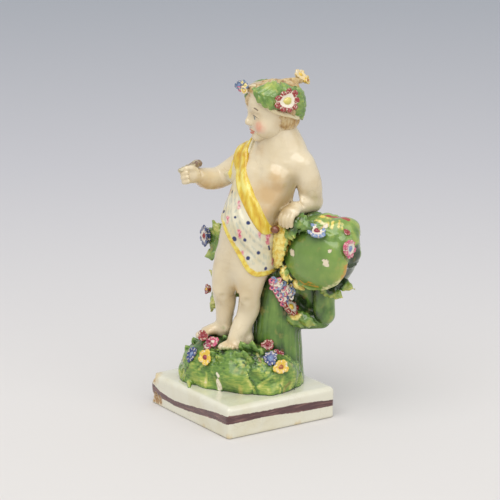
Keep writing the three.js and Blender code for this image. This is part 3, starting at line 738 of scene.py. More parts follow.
STUMP = [
    # x, y, z, half width
    (12.4, 10.6, 15, 11.2), (11.8, 10.9, 21, 10.9), (11.2, 11.0, 28, 11.0), (10.4, 11.2, 36, 11.0),
    (10.6, 11.8, 48, 10.6), (11.6, 12.4, 58, 10.0), (11.8, 12.6, 68, 8.8),
]
TOOL_STROKES = 20
clay = Clay((-3, -3, 13), (40, 27, 79), 0.45)
clay.add(limb(STUMP, steps=4), 0)
clay.add(limb([(14, 13, 44.4, 6.2), (23, 14.8, 42.2, 4.5), (30.4, 17.5, 42.6, 4.0)]), 3)
clay.add(limb([(15, 17, 50, 5.0), (20, 19.6, 49.6, 4.4), (26, 20.4, 48.6, 4.2)]), 2)
clay.add(limb([(17, 12.4, 64, 7), (23, 16, 57, 5.8), (26, 19.4, 50, 4.8)]), 3)  # the bough under the horn
strokes = []
for groove in range(TOOL_STROKES):
    # the tool's strokes wander as they go up
    angle = 2 * math.pi * (groove + seed.uniform(-0.4, 0.4)) / TOOL_STROKES
    stations, top = [], seed.uniform(40, 70)
    for height in np.linspace(seed.uniform(15, 22), top, 6):
        x, y, radius = (np.interp(height, [s[2] for s in STUMP], [s[i] for s in STUMP]) for i in (0, 1, 3))
        swing = angle + seed.uniform(-0.06, 0.06) + 0.006 * (height - 40)
        stations.append((
            x + radius * math.cos(swing), y + radius * math.sin(swing), height, seed.uniform(0.06, 0.2)
        ))
    strokes.append(stations)
    clay.cut(limb(stations), 0.9)
clay.add(ball((4, 19.4, 46), 2.6, 2.6, 3.4), 1.8)
points, faces = clay.skin()
material, paint, shader = glazed("bark_green", 0.2, 0.3)
bark = paint.group(green_wash, paint.brushed("thickness"), (0.3, 0.3, 0.07), 0.35, 0.55)
dipped(paint, shader, bark, 0.9)
x, y, z = points.T
near, which = nearest_stroke(points, strokes)
# painted shade in the dark recess between the stump, the bough and the horn's tail
recess_shade = np.clip(1.8 - line_gap(points, [(20, 10.8, 52.6), (22.6, 12.2, 51)]) / 2.0, 0, 1)
tones = seed.choice([-0.08, 0.0, 0.07], len(strokes))
thickness = 0.36 + 0.05 * np.sin(z / 7 + x / 5) + 0.7 * recess_shade
thickness = thickness + tones[which] * np.clip(1.4 - near, 0, 1)
thickness = thickness - 0.12 * np.clip((24 - z) / 6, 0, 1)
stump = piece("tree_stump", points, faces, material, {"thickness": thickness})
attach(stump, "root")
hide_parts("pearlware_figure")


# The leafy sprays: two flat strips of clay luted to the stump behind the hips, with small leaves from a
# mould pressed on them one by one, on both sides. They carry the same green glaze as the stump, a little
# thinner, with small touches of yellow here and there.

clay = Clay((-29, -2, 36), (12, 22, 85), 0.36)
clay.add(limb([(9, 12, 67, 6, 7), (-7, 8.4, 71, 3.2, 7), (-20, 6.4, 73, 2.2, 5.4)], (0, 0, 1), 4), 0)
clay.add(limb(
    [(8, 12.5, 55, 4.4, 6), (-7, 8.4, 53, 2.6, 4.6), (-18.6, 6.8, 50.4, 1.6, 3.4)], (0, 0, 1), 4
), 1)
spray_leaves = [
    ((-13, 8.4, 70), (-19.5, 5.0, 81.5), (-0.2, -1, 0.15), 8),
    ((-9, 8.0, 72), (-11.5, 4.6, 82.5), (0, -1, 0.2), 7),
    ((-15, 8, 74), (-21.5, 5.0, 78), (-0.3, -1, 0.2), 6),
    ((-14, 8, 69), (-24, 5.0, 65), (-0.4, -1, 0), 7),
    ((-13, 7.6, 69), (-17.6, 5.0, 61.6), (-0.2, -1, -0.1), 7),
    ((-9, 7.4, 70), (-12.6, 4.2, 62.4), (0, -1, 0), 6.5),
    ((-9, 7.0, 74), (-15.6, 3.8, 74.4), (-0.2, -1, 0.1), 6.5),
    ((-8, 7, 67), (-14.6, 3.8, 68), (-0.2, -1, 0), 6),
    ((-16, 7.2, 53), (-21.4, 6.0, 40.5), (-0.3, -1, 0.15), 6.4),
    ((-13, 7.6, 54), (-22, 6, 58.6), (-0.3, -1, 0.2), 6),
    ((-12, 7.6, 52), (-15.6, 5.6, 43.6), (-0.1, -1, 0), 5.5),
    ((-14, 7.4, 53), (-17.5, 5.4, 61.6), (-0.2, -1, 0.2), 5),
    ((-12, 10.2, 73), (-20, 9.6, 79.6), (-0.2, 1, 0.2), 7),
    ((-11, 11.2, 69), (-21, 9.4, 68), (-0.3, 1, 0), 7),
    ((-12, 10.2, 54), (-19.4, 8.6, 44.6), (-0.2, 1, 0), 6),
    ((-9, 10.6, 54), (-16, 9.4, 58.4), (-0.2, 1, 0.1), 6),
    ((6, 19.4, 56), (-1, 19.4, 69), (-0.2, 1, 0.2), 8),
    ((4, 18.6, 62), (-6.4, 15.8, 66), (-0.3, 1, 0.1), 7),
    ((5, 19.4, 60), (-2.4, 18.2, 51), (-0.3, 1, -0.1), 7),
]
for stem, tip, shows, wide in spray_leaves:
    clay.add(leaf(stem, tip, shows, wide), 0.45)
points, faces = clay.skin()
material, paint, shader = glazed("leaf_green", 0.18)
leafy = paint.group(green_wash, 0.1, (0.3, 0.3, 0.3), 0.55)
touches = paint.rise(paint.noise(paint.millimetres(), 0.9, 2.0), 0.6, 0.72)
leafy = paint.mix(paint.times(touches, 0.45), leafy, colour(214, 192, 96))
dipped(paint, shader, leafy, 0.8)
sprays = piece("leafy_sprays", points, faces, material)
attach(sprays, "root")
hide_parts("pearlware_figure")


# The horn of plenty: a cone of clay bent while it was soft, whose mouth is heaped with broad leaves. It
# lies on the stump's bough with its tail curled under it, and more leaves are laid over its sides. The
# leaves' edges are picked out in yellow and red, and chips in the glaze show the white body.

HORN_MOUTH = np.array([34, 4.6, 76.2])
HORN_RADIUS = 16.4
FILLING_WIDE, FILLING_HIGH = 16.2, 13.4  # half sizes of the leaves' heap in the mouth
FILLING_SHIFT, FILLING_SINK = 0.8, 3.4  # how far it lies to the left of the mouth's middle and below it
MOUTH_FACES = unit([0.12, -1, 0.06])
clay = Clay((14, -3, 38), (54, 38, 96), 0.42)
HORN_COURSE = [
    # x, y and z from the middle of the mouth, half width
    (0.4, 2.4, -0.8, 14.8), (0.4, 6, -0.2, 14.2), (0.2, 11, 0, 13.0), (-0.8, 15.6, -6.4, 11.0),
    (-3.0, 15, -16, 7.4), (-3.2, 13.6, -23.6, 5.2), (-2.4, 13.0, -31, 4.9),
]
clay.add(limb([(*(HORN_MOUTH + row[:3]), row[3]) for row in HORN_COURSE], (1, 0, 0), 4), 0)
mouth_across = unit(np.cross(MOUTH_FACES, (0, 0, 1)))
mouth_across = mouth_across * np.sign(mouth_across[0])
mouth_up = np.cross(mouth_across, MOUTH_FACES)
mouth_up = mouth_up * np.sign(mouth_up[2])


def mouth_point(angle, share, out=0.0):
    """A point of the mouth, from the angle in degrees up from the child's left and its share of the way
    out from the middle."""
    angle = math.radians(angle)
    across = mouth_across * math.cos(angle) + mouth_up * math.sin(angle)
    return HORN_MOUTH + across * share * HORN_RADIUS + MOUTH_FACES * out


def before_mouth(x, y, z):
    x, y, z = (place - middle for place, middle in zip((x, y, z), HORN_MOUTH))
    return -(x * MOUTH_FACES[0] + y * MOUTH_FACES[1] + z * MOUTH_FACES[2])


clay.cut([(HORN_MOUTH - [18, 20, 18], HORN_MOUTH + [18, 5, 18], before_mouth)], 0.8)
clay.add(ball(HORN_MOUTH + [0.8, 4.4, 1.6], 15.4, 6.5, 12.6), 2)
# the smooth heap that fills the mouth
clay.add(ball(HORN_MOUTH + [FILLING_SHIFT, 1.4, -FILLING_SINK], FILLING_WIDE, 5.6, FILLING_HIGH), 0.8)


def disc_edge(angle, grow=1.0, out=0.0):
    """A point of the filling's edge, from the angle in degrees up from the child's left."""
    angle = math.radians(angle)
    aside = FILLING_SHIFT + FILLING_WIDE * grow * math.cos(angle)
    above = FILLING_HIGH * grow * math.sin(angle) - FILLING_SINK
    return HORN_MOUTH + (mouth_across * aside + mouth_up * above) + MOUTH_FACES * (out - 0.6)


right_edge = [(*disc_edge(a, 0.97 + 0.015 * math.sin(a / 4)), 0.55) for a in range(-116, 8, 6)]
left_edge = [(*disc_edge(a, 0.96 + 0.02 * math.sin(a / 5), 0.6), 0.6) for a in range(128, 232, 6)]
clay.add(limb(right_edge, steps=2), 0.6).add(limb(left_edge, steps=2), 0.6)
SWELLINGS = [
    # angle, share of the way out, how far out of the mouth and half size: they lift the side leaves
    (20, 0.93, -5.5, 4.6), (46, 0.92, -6, 4.2), (-2, 0.9, -7.5, 4.2), (75, 0.8, -6, 3.6),
    (150, 0.86, -5, 3.6), (118, 0.84, -6, 3.6),
]
for angle, share, out, half in SWELLINGS:
    clay.add(ball(mouth_point(angle, share, out), half, half * 1.3, half), 2.2)
heaped = [
    # angle and share of the stem, then of the tip, how far out the stem and the tip are, width
    (70, 0.54, 62, 0.86, 3.0, -1.8, 8), (42, 0.62, 34, 1.0, 2.0, -2.2, 8.5),
    (96, 0.54, 92, 0.82, 3.0, -2.6, 8), (122, 0.58, 116, 0.92, 2.8, -2.0, 7.5),
    (150, 0.68, 142, 1.0, 2.0, -2.0, 7), (16, 0.76, 10, 1.04, 0.8, -3.0, 7.5),
    (144, 0.98, 196, 1.0, -0.2, 0.2, 8.5),
]
for start, near, end, far, rise, sink, wide in heaped:
    shows = MOUTH_FACES + 0.4 * (mouth_point((start + end) / 2, 1) - HORN_MOUTH) / HORN_RADIUS
    stem, tip = mouth_point(start, near, rise), mouth_point(end, far, sink)
    clay.add(leaf(stem, tip, shows, wide, 0.9, 0.8, 0.12), 0.5)
clay.add(ball(mouth_point(38, 1.0, -8), 4.6, 6, 4.6), 2.2)
laid = [
    # angle of the stem, of the tip, how far back the stem and the tip are, share of the way out, width
    (60, 48, -13, -2.6, 0.84, 9.5), (42, 30, -13, -3.4, 1.02, 9.5), (20, 6, -13, -3.0, 0.92, 9),
    (86, 76, -12, -2.4, 0.68, 8.5), (-6, -20, -12.5, -5, 0.88, 6.5), (112, 104, -12, -2.6, 0.78, 8.5),
    (140, 134, -11, -2.4, 0.8, 8.5),
]
for start, end, back, front, low, wide in laid:
    shows = mouth_point((start + end) / 2, 1) - HORN_MOUTH
    stem, tip = mouth_point(start, low, back), mouth_point(end, low + 0.14, front)
    clay.add(leaf(stem, tip, shows, wide, 1.2, 1.2, 0.2), 0.5)
clay.cut(limb([
    (*mouth_point(-4, 1.16, -3.4), 1.3), (*mouth_point(-24, 1.12, -3.4), 1.9),
    (*mouth_point(-52, 1.1, -3.6), 1.7),
]), 1.2)
points, faces = clay.skin()

material, paint, shader = glazed("horn_green_and_yellow", 0.18)
leafy = paint.group(green_wash, paint.brushed("thickness"), (0.2, 0.2, 0.12), 0.3, paint.brushed("swing"))
yellow = paint.clouded(
    paint.millimetres(), 0.5, 0.35, 0.7, colour(236, 218, 122), colour(220, 182, 66)
)
leafy = paint.marked("cream", 1.6, 0.5, leafy, colour(226, 218, 158), 0.9)
leafy = paint.marked("yellow", 1.3, 0.4, leafy, yellow)
leafy = paint.marked("orange", 0.7, 0.25, leafy, colour(204, 146, 52), 0.85)
leafy = paint.marked("red_line", 0.5, 0.25, leafy, colour(166, 62, 44))
bare = paint.group(brush_edge, paint.brushed("bare"), 1.4, 0.25)
leafy = paint.mix(bare, leafy, colour(226, 212, 184))
dipped(paint, shader, leafy, 1.0, paint.times(bare, -0.25))

x, y, z = points.T
from_mouth = (points - HORN_MOUTH) @ MOUTH_FACES
flat = points - HORN_MOUTH - from_mouth[:, None] * MOUTH_FACES
share = np.linalg.norm(flat, axis=1) / HORN_RADIUS
on_mouth = points - from_mouth[:, None] * MOUTH_FACES * (from_mouth > 0)[:, None]


def mouth_strokes(strokes, half):
    """How far the points lie from brush strokes over the mouth, each a row of angles and shares."""
    lines = [
        [mouth_point(angle, reach, min(0.0, 12 * (1 - reach))) for angle, reach in stroke]
        for stroke in strokes
    ]
    return nearest_line(on_mouth, lines) - half


away = np.where(from_mouth < -9, 9.0, 0.0)


def edge_strokes(strokes, half):
    """How far the points lie from brush strokes along the filling's edge: rows of angles and sizes."""
    lines = [[disc_edge(angle, grow) for angle, grow in stroke] for stroke in strokes]
    return nearest_line(on_mouth, lines) - half


disc_across = (flat @ mouth_across - FILLING_SHIFT) / FILLING_WIDE
disc_up = (flat @ mouth_up + FILLING_SINK) / FILLING_HIGH
in_disc = np.clip(1.02 - np.linalg.norm(np.stack([disc_across, disc_up], axis=1), axis=1), 0, 1)
on_disc = np.clip(in_disc * 8, 0, 1) * (from_mouth > -2)
# lines of painted shade in the undercut below the mouth's right edge
UNDERCUT_SHADE = [
    [(51.8, 12.6, 77.4), (51.4, 12, 72), (48.4, 11, 66.6), (43.8, 11.6, 62.8), (39.6, 11.4, 58.8)],
    [(50.2, 13, 71), (43.5, 19.8, 65.6), (43.2, 16.2, 63.6), (41.5, 13.7, 60.4)],
]
RIM_YELLOW = [
    [(21.0, -0.4, 85.0, 2.2), (22.0, 0.6, 79, 3.0), (21.4, 0.2, 73.6, 2.0)],
    [(35.4, 7.6, 91.8, 0.8), (39.8, 8.8, 91.2, 0.9), (44.4, 9.6, 90.6, 0.3)],
    [(42.2, 8.8, 90.2, 0.4), (43.2, 6.4, 87.6, 0.7)], [(44.6, 9.4, 90, 0.4), (45.6, 7.6, 87.8, 0.5)],
    [(40.4, 7.4, 90.2, 0.3), (41.8, 5.6, 88.4, 0.5)], [(46.4, 9.4, 89.6, 0.3), (47.2, 8.0, 87.4, 0.4)],
    [(35.0, 5.4, 90.0, 0.3), (37.4, 5.6, 89.8, 0.4)],
]
ORANGE_IN_MOUTH = [
    # angles and shares of each stroke
    [(250, 0.86), (262, 0.92), (272, 0.88), (286, 0.94)], [(256, 0.98), (270, 0.80), (282, 0.86)],
    [(62, 0.84), (66, 0.7)],
]
CREAM_EDGE = [
    [(-30, 0.99), (-44, 0.98), (-58, 0.97), (-72, 0.98)], [(196, 0.95), (214, 0.97), (234, 0.97)],
]
CHIPS = [
    # angle, share of the way out, radius
    (188.7, 0.51, 1.5), (-19.4, 0.59, 1.6), (10, 0.66, 0.7), (60, 0.82, 0.8),
]
# the filling's green is a little deeper; the rest is painted shade: the arm's shadow at the top left, low
# down behind the mouth, and in the undercut
thickness = 0.1 + 0.1 * on_disc + 0.3 * np.clip((z - 82) / 4, 0, 1) * np.clip((33 - x) / 4, 0, 1)
thickness = thickness + 0.3 * np.clip((66 - z) / 5, 0, 1) * (from_mouth < -1)
thickness = thickness + 0.9 * np.clip(1.7 - nearest_line(points, UNDERCUT_SHADE) / 2.3, 0, 1)
painted = {
    "swing": 1.0 - 0.75 * on_disc,
    "thickness": thickness,
    "yellow": np.minimum(
        nearest_line(points, RIM_YELLOW),
        away + mouth_strokes([[(224, 0.98), (236, 1.0)], [(84, 0.7), (74, 0.62)]], 0.8),
    ),
    "orange": away + np.minimum(
        mouth_strokes(ORANGE_IN_MOUTH, 0.3),
        edge_strokes([[(-2, 1.0), (-16, 1.01), (-30, 1.02)], [(126, 0.96), (150, 0.98)]], 0.8),
    ),
    "cream": away + np.minimum(
        edge_strokes(CREAM_EDGE, 0.6), line_gap(points, [(37.4, 5.4, 89.6, 0.7), (40.2, 5.5, 89, 0.9)])
    ),
    "red_line": line_gap(points, [(38.4, 9.2, 92.2), (41.2, 12.2, 91.6), (46.9, 12.9, 90.8)]) - 1.2,
    "bare": nearest_of(
        np.linalg.norm(on_mouth - mouth_point(angle, reach), axis=1) - radius
        for angle, reach, radius in CHIPS
    ),
}
horn = piece("horn_of_plenty", points, faces, material, painted)
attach(horn, "root")
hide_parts("pearlware_figure")


# The leaves on the horn: thin leaves from the small mould, stuck on one by one with slip over the horn's
# edge, under the child's hand and round its tail. They are green too, with yellow on the lower ones and
# along the broad one at the mouth's left.

clay = Clay((10, -4, 36), (54, 30, 95), 0.38)
horn_leaves = [
    ((30, 15.5, 63), (47.5, 16.6, 59.4), (0.3, -1, 0.5), 8),
    ((32, 13.5, 60), (44.4, 12.6, 55.8), (0.3, -1, 0.3), 7),
    ((28, 14, 66), (42, 14, 64), (0.2, -1, 0.7), 6),
    ((18, 8.4, 45.4), (25.6, 11.8, 39.6), (0.3, -1, -0.2), 6),
    ((21, 9.8, 45.4), (31, 13.8, 41), (0.4, -1, -0.2), 6),
    ((19, 7.8, 46.4), (22.8, 9, 40.6), (0.2, -1, -0.2), 5.5),
    ((25, 11.4, 46), (28.4, 11.4, 39.8), (0.3, -1, 0), 5.4),
    ((20, 5, 88), (27.5, -0.6, 81.5), (0, -1, 0.3), 8),
    ((26, 3, 91), (36.6, 0.6, 86.6), (0, -1, 0.5), 7), ((22, 3.6, 90), (31, -0.2, 88), (0, -1, 0.8), 7),
    ((20.6, 2.4, 87), (17.8, 0.4, 78), (-0.2, -1, 0.1), 5),
    ((20, 4, 68), (23, 2.2, 61.4), (0.1, -1, -0.1), 5),
    ((24, 6.4, 62), (28.6, 6.0, 58.2), (0.3, -1, -0.2), 5),
    ((18, 5, 74), (15.8, 3.2, 66), (0, -1, 0), 5), ((25, 3.4, 88), (29, -1.4, 83), (0, -1, 0.5), 6),
]
for stem, tip, shows, wide in horn_leaves:
    clay.add(leaf(stem, tip, shows, wide), 0.5)
clay.add(leaf((21.6, 2.2, 88), (18.6, 1.2, 67.6), (-0.1, -1, 0.1), 9, 1.5, 1.8, 0.05, 0.4), 0.7)
points, faces = clay.skin()
material, paint, shader = glazed("leaf_green_edged_yellow", 0.18)
leafy = paint.group(green_wash, paint.brushed("thickness"), (0.3, 0.3, 0.3), 0.45)
yellow = paint.clouded(
    paint.millimetres(), 0.6, 0.4, 0.66, colour(238, 222, 130), colour(222, 184, 66)
)
leafy = paint.marked("yellow", 1.6, 0.5, leafy, yellow)
dipped(paint, shader, leafy, 0.8)
YELLOW_LEAVES = [
    # the broad leaf has half widths along its line, the others are one width
    [(20.6, 1.2, 87, 0.6), (20.2, 0.2, 79, 1.6), (19.2, 0.6, 68.4, 1.2)],
    [(20, 3, 66), (22.6, 2.2, 62)], [(25, 5.4, 61), (28.2, 5.6, 58.6)],
    [(22.4, 7.4, 47.4), (24.2, 7.2, 45.4)],
]
x, y, z = points.T
# painted shade: the arm's shadow on the leaves at the top left, and the undercut below the mouth; the lower
# leaves are darker too
shade = np.clip((z - 83) / 3, 0, 1) * np.clip((x - 23) / 3, 0, 1)
thickness = 0.12 + 0.1 * np.clip((60 - z) / 10, 0, 1) + 0.34 * shade
thickness = thickness + 0.8 * np.clip(1.7 - nearest_line(points, UNDERCUT_SHADE) / 1.6, 0, 1)
painted = {"yellow": nearest_line(points, YELLOW_LEAVES) - 2.4, "thickness": thickness}
laid_leaves = piece("leaves_on_the_horn", points, faces, material, painted)
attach(laid_leaves, "root")
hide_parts("pearlware_figure")


# The child: trunk, arms and legs pressed in moulds and joined with slip, then sponged smooth. The clear
# glaze over the white body dries ivory, with a warm flesh wash brushed over some places. The same wash
# also paints shade beside the left arm, under the chin, under the right forearm and behind the knees,
# and an olive wash paints deeper shade beside the left arm.

HIP = {"left": np.array([7.4, -1.2, 69]), "right": np.array([-4.6, -1.2, 68])}
SHOULDER = {"left": np.array([25.6, 9.2, 112]), "right": np.array([-0.8, 6, 111.8])}
NECK = np.array([13.2, 7.2, 118])
TORSO = [
    # x, y, z, half width, half depth
    (1.4, -0.6, 62, 7, 7), (1.8, -0.4, 68, 12.4, 9.6), (2.6, 0, 76, 13, 10.4), (4.8, 0.6, 85, 13, 10.6),
    (7.4, 2.6, 94, 13.2, 10.4), (10, 4.8, 103, 13.8, 10), (12, 6.4, 110.5, 14.2, 8.8),
    (12.7, 7.1, 116, 12, 7.4), (13.2, 7.2, 119, 9, 7),
]
TRUNK = limb(TORSO)
BELLY = ball((4.6, -2.6, 84), 9.2, 8.2, 10)
SEAT = [ball((8.4, 5.2, 67.6), 6.4, 6, 6.6), ball((-3.2, 5, 67.4), 6.2, 6, 6.4)]


def toes_of(ball_of_foot, ahead, big_side):
    """Five toes from the ball of a foot. big_side is -1 or 1, the side that the big toe lies on."""
    ahead = unit(ahead)
    side = np.array([ahead[1], -ahead[0], 0]) * big_side
    toes = []
    for place, (half, reach) in enumerate(((1.55, 3.0), (1.15, 3.2), (1.08, 2.7), (1.0, 2.1), (0.95, 1.4))):
        root = ball_of_foot + side * (3.0 - 1.62 * place) + ahead * (0.4 - 0.12 * place**2)
        tip = root + ahead * reach + [0, 0, -0.55]
        middle = (root + tip) / 2 + [0, 0, 0.25]
        toes += limb([(*root, half), (*middle, half * 0.86), (*tip, half * 0.96)], steps=2)
    return toes


def add_leg(clay, hip, knee, ankle, heel, ball_of_foot, sole, big_side):
    """Thigh, calf, knee and foot. sole is the height that the foot stands at."""
    knee, ankle, heel, front = (np.array(p, float) for p in (knee, ankle, heel, ball_of_foot))
    calf = knee * 0.55 + ankle * 0.45 + [0, 1.3, 0]
    thigh = hip * 0.55 + knee * 0.45 + [0, -0.7, 0]
    low = np.array([ankle[0], ankle[1], sole + 2.5])
    clay.add(limb(
        [(*hip, 7.4), (*thigh, 6.7), (*knee, 5.2), (*calf, 5.0), (*ankle, 3.8), (*low, 3.7)], steps=7
    ), 2.5)
    clay.add(ball(knee + [0, -3.8, 0.4], 2.6, 1.5, 2.6), 2.2)
    for way in (-1, 1):
        clay.cut(ball(knee + [way * 2.8, -5.2, -1.8], 0.9, 0.7, 1.2), 1.8)
    ahead = unit(front - heel)
    foot = [
        (*(heel + [0, 0, sole + 2.6]), 3.1, 2.7),
        (*(heel * 0.5 + front * 0.5 + [0, 0, sole + 2.8]), 3.4, 2.7),
        (*(front + [0, 0, sole + 1.8]), 3.9, 1.7),
    ]
    clay.add(limb(foot, (0, 0, 1)), 2.0)
    side = np.array([ahead[1], -ahead[0], 0])
    for way in (-1, 1):
        clay.add(ball(low + side * way * 3.1 + [0, 0, 0.9], 1.1, 1.1, 1.3), 1.4)
    clay.add(toes_of(front + [0, 0, sole + 1.5], ahead, big_side), 0.35)


def add_fingers(clay, knuckles, row, bend, tip, thick):
    """Four fingers from the middle of the knuckles. row is the way that they stand side by side, and
    bend and tip are where the joint and the tip lie from each one's root."""
    knuckles, row, bend, tip = (np.array(p, float) for p in (knuckles, row, bend, tip))
    for place in (-1.5, -0.5, 0.5, 1.5):
        root = knuckles + row * place * thick * 1.55
        shorten = 1 - 0.1 * abs(place - 0.3)
        joint, end = root + bend * shorten, root + tip * shorten
        clay.add(limb([(*root, thick), (*joint, thick * 0.98), (*end, thick * 0.8)], row), 0.3)


clay = Clay((-23, -23, 29), (36, 22, 129), 0.43)
clay.add(TRUNK, 0).add(BELLY, 3)
clay.add(ball((17.2, -0.2, 107), 6, 3.6, 4.8), 2.5).add(ball((6.2, -0.6, 107.4), 6, 3.6, 4.8), 2.5)
clay.cut(limb([(12.0, -4.3, 110, 0.7), (10.6, -6.7, 103, 0.8), (8.8, -8.8, 96, 0.5)]), 2.4)
clay.add(limb([(22.6, 3.4, 113.0, 0.8), (16.4, 0.2, 113.8, 0.7)]), 2.2)  # the collar bones
clay.add(limb([(3.4, 2.4, 113.6, 0.8), (9.6, 0, 114.2, 0.7)]), 2.2)
clay.add(SEAT[0], 1.6).add(SEAT[1], 1.6)
clay.cut(limb([
    (13.2, 15.6, 113, 0.9), (10.6, 15.2, 103, 1.1), (7, 13.4, 91, 1.2), (3.4, 11.4, 77, 1.0)
]), 2.6)
clay.add(ball((20, 13.6, 107), 4.6, 2.2, 5.8), 2.6).add(ball((5.6, 12.8, 107.4), 4.6, 2.2, 5.8), 2.6)
clay.add(limb([(*NECK, 8.8, 7.6), (*(NECK + [0, 0.2, 4.5]), 7.4), (*(NECK + [-0.3, 0.2, 10]), 7.2)]), 3)
# from nape to shoulder
clay.add(limb([(15.4, 10, 124.6, 5.6), (18, 10.6, 119.5, 6.2), (21.2, 10.4, 114, 6.2)]), 3)
add_leg(clay, HIP["left"], (6.2, -3, 54), (3.4, -2.8, 40), (3.6, -1.4, 0), (2.6, -10.6, 0), 31, 1)
clay.add(limb([(3.5, -3.4, 43, 3.8), (3.1, -5.9, 38.2, 3.9), (2.6, -8.6, 35, 3.0)]), 1.5)  # the instep
add_leg(clay, HIP["right"], (-7, -3.4, 54), (-7.6, -2.4, 42), (-7.6, -0.8, 0), (-14.0, -8.1, 0), 33.6, -1)

# the left arm hangs to the elbow on the horn, and the hand lies over its edge
clay.add(limb([(*SHOULDER["left"], 5.6), (27.6, 11.2, 104, 5.5), (26.4, 14.8, 95.4, 4.8)]), 2.4)
clay.add(limb([(26.2, 15.0, 94.9, 4.8), (26, 10, 95.2, 4.7), (25.5, 5.2, 94.1, 3.3)]), 1.2)
clay.add(limb([(25.4, 4.6, 93.8, 3.3, 2.5), (25.4, 0.8, 92.9, 4.6, 2.4)], (0, 0, 1)), 1.2)
add_fingers(clay, (25.3, -0.6, 92.3), (1, 0, 0.05), (-0.3, -1.5, -2.4), (-0.5, -1.2, -5.6), 1.22)
clay.add(limb([(22.4, 3.2, 92.6, 1.7), (20.6, 1.6, 90.6, 1.4), (19.8, 0.6, 88.4, 1.15)]), 0.7)
clay.cut(limb([(21.6, 5.2, 94.6, 0.3), (25.4, 4.7, 97.4, 0.45), (29, 5.4, 95, 0.3)]), 0.9)
clay.cut(limb([(21.8, 12, 98.2, 0.4), (24.4, 9.6, 100.6, 0.5), (28.6, 9.6, 100.2, 0.4)]), 1.2)

# the right arm is held out, with what is left of a sprig in the hand
clay.add(limb([
    (*SHOULDER["right"], 5.8), (-7.4, 4.8, 107, 5.4), (-13.2, 1.8, 102.9, 4.9), (-15.2, -4, 103, 4.8),
    (-16, -9.8, 105.2, 3.6), (-16.4, -13, 106.2, 3.5),
], (0.5, 0, 1)), 2.4)
clay.add(limb([(-16.4, -12.4, 106, 2.9, 3.5), (-16.8, -16, 106.2, 2.5, 3.7)], (0, 0, 1)), 1.0)
add_fingers(clay, (-16.8, -16.6, 106.3), (0.2, 0, -0.98), (-0.4, -2.5, 0.1), (2.0, -2.2, 0.9), 1.16)
clay.add(limb([(-15.2, -13.0, 108.2, 1.7), (-15, -15.4, 109.4, 1.4), (-15.6, -17.4, 109.8, 1.1)]), 0.7)
clay.cut(limb([(-12.9, -11.2, 106, 0.3), (-14.4, -11.6, 108.6, 0.4), (-18, -12, 108.6, 0.3)]), 0.9)

VIEW_X, VIEW_Y = 0.797, 0.6036  # the way across the photograph's view, in the child's own directions
ARM_GAP = 23.4  # across the view, how far to the child's left the arm stands free of the chest
LEG_GAP = -1.35  # across the view, where the slit between the lower legs is


def between_arm_and_chest(x, y, z):
    """A wedge that narrows upwards, cut straight through along the view."""
    across, up = VIEW_X * x + VIEW_Y * y, z - 0.295 * (VIEW_Y * x - VIEW_X * y)
    return np.maximum(np.abs(across - ARM_GAP) - 0.22 * (100.8 - up), 93.6 - up)


def between_the_legs(x, y, z):
    """A narrow slit between the knees and the ankles, a little bent as the legs are."""
    across = VIEW_X * x + VIEW_Y * y - LEG_GAP + 0.008 * (z - 58) ** 2
    return np.maximum(np.abs(across) - 0.35, np.maximum(z - 55.5, 44 - z))


clay.cut([(np.array([8, -6, 88]), np.array([32, 21, 106]), between_arm_and_chest)], 0.5)
clay.cut([(np.array([-14, -14, 42]), np.array([10, 14, 59]), between_the_legs)], 0.9)
child_points, child_faces = clay.skin()

IVORY = colour(224, 208, 175)
FLESH_WASH_AND_SHADE = colour(206, 170, 116)
POOLED_CLEAR_AND_SHADE = colour(176, 140, 92)  # the clear glaze where it lies thick, and painted shade in the hollows
material, paint, shader = glazed("ivory_glaze", 0.2)
where = paint.millimetres()
ware = paint.clouded(where, 0.1, 0.4, 0.75, IVORY, colour(215, 195, 156))
# the flesh wash, which also paints shade beside the left arm, under the chin, under the right forearm and
# behind the knees
wash_and_shade = paint.sum(paint.brushed("flush_and_shade"), paint.times(paint.sum(paint.noise(where, 0.22, 3.0), -0.5), 0.7))
ware = paint.mix(paint.times(paint.rise(wash_and_shade, 0.1, 1.0), 0.85), ware, FLESH_WASH_AND_SHADE)
# pooled clear glaze and painted shade in the hollows
ware = paint.pooled_and_shaded(0.1, 1.1, 0.3, ware, POOLED_CLEAR_AND_SHADE)
ware = crazed(paint, ware)
# painted olive shade down the chest's side, in the gap beside the left arm
ware = paint.mix(paint.times(paint.brushed("painted_arm_shade"), 0.75), ware, colour(158, 138, 94))
ware = paint.marked("green_touch", 0.9, 0.6, ware, colour(140, 158, 88), 0.7)
dipped(paint, shader, ware, 0.9)


def flushed_and_shaded(points, places):
    """How much flesh wash and painted shade lies on each point, from places of x, y, z and how far each one
    spreads.
    """
    total = np.zeros(len(points))
    for x, y, z, spread in places:
        total = np.maximum(total, np.exp(-np.sum((points - [x, y, z]) ** 2, axis=1) / spread**2))
    return total


# flesh wash in some places, painted shade in others: beside the left arm, under the chin, under the right
# forearm and behind the knees
flush_and_shade = flushed_and_shaded(child_points, [
    (17, -3, 100, 7.5), (16, -3, 92, 7), (17, 2, 86, 7), (19, -1, 107, 4.5), (-16, -8, 100, 7),
    (-13, -1, 98, 6), (20, 14, 112, 6), (-9, 2, 60, 5), (12, 4, 62, 5), (-12, -8, 34, 4),
    (3, -10, 32, 4), (10, 12, 88, 7), (-6, 3, 50, 4), (8, 2, 48, 4), (21, -1, 96, 5.5), (9, -5, 119, 5),
    (20, -2, 103, 5), (3, -6, 56, 4),
])
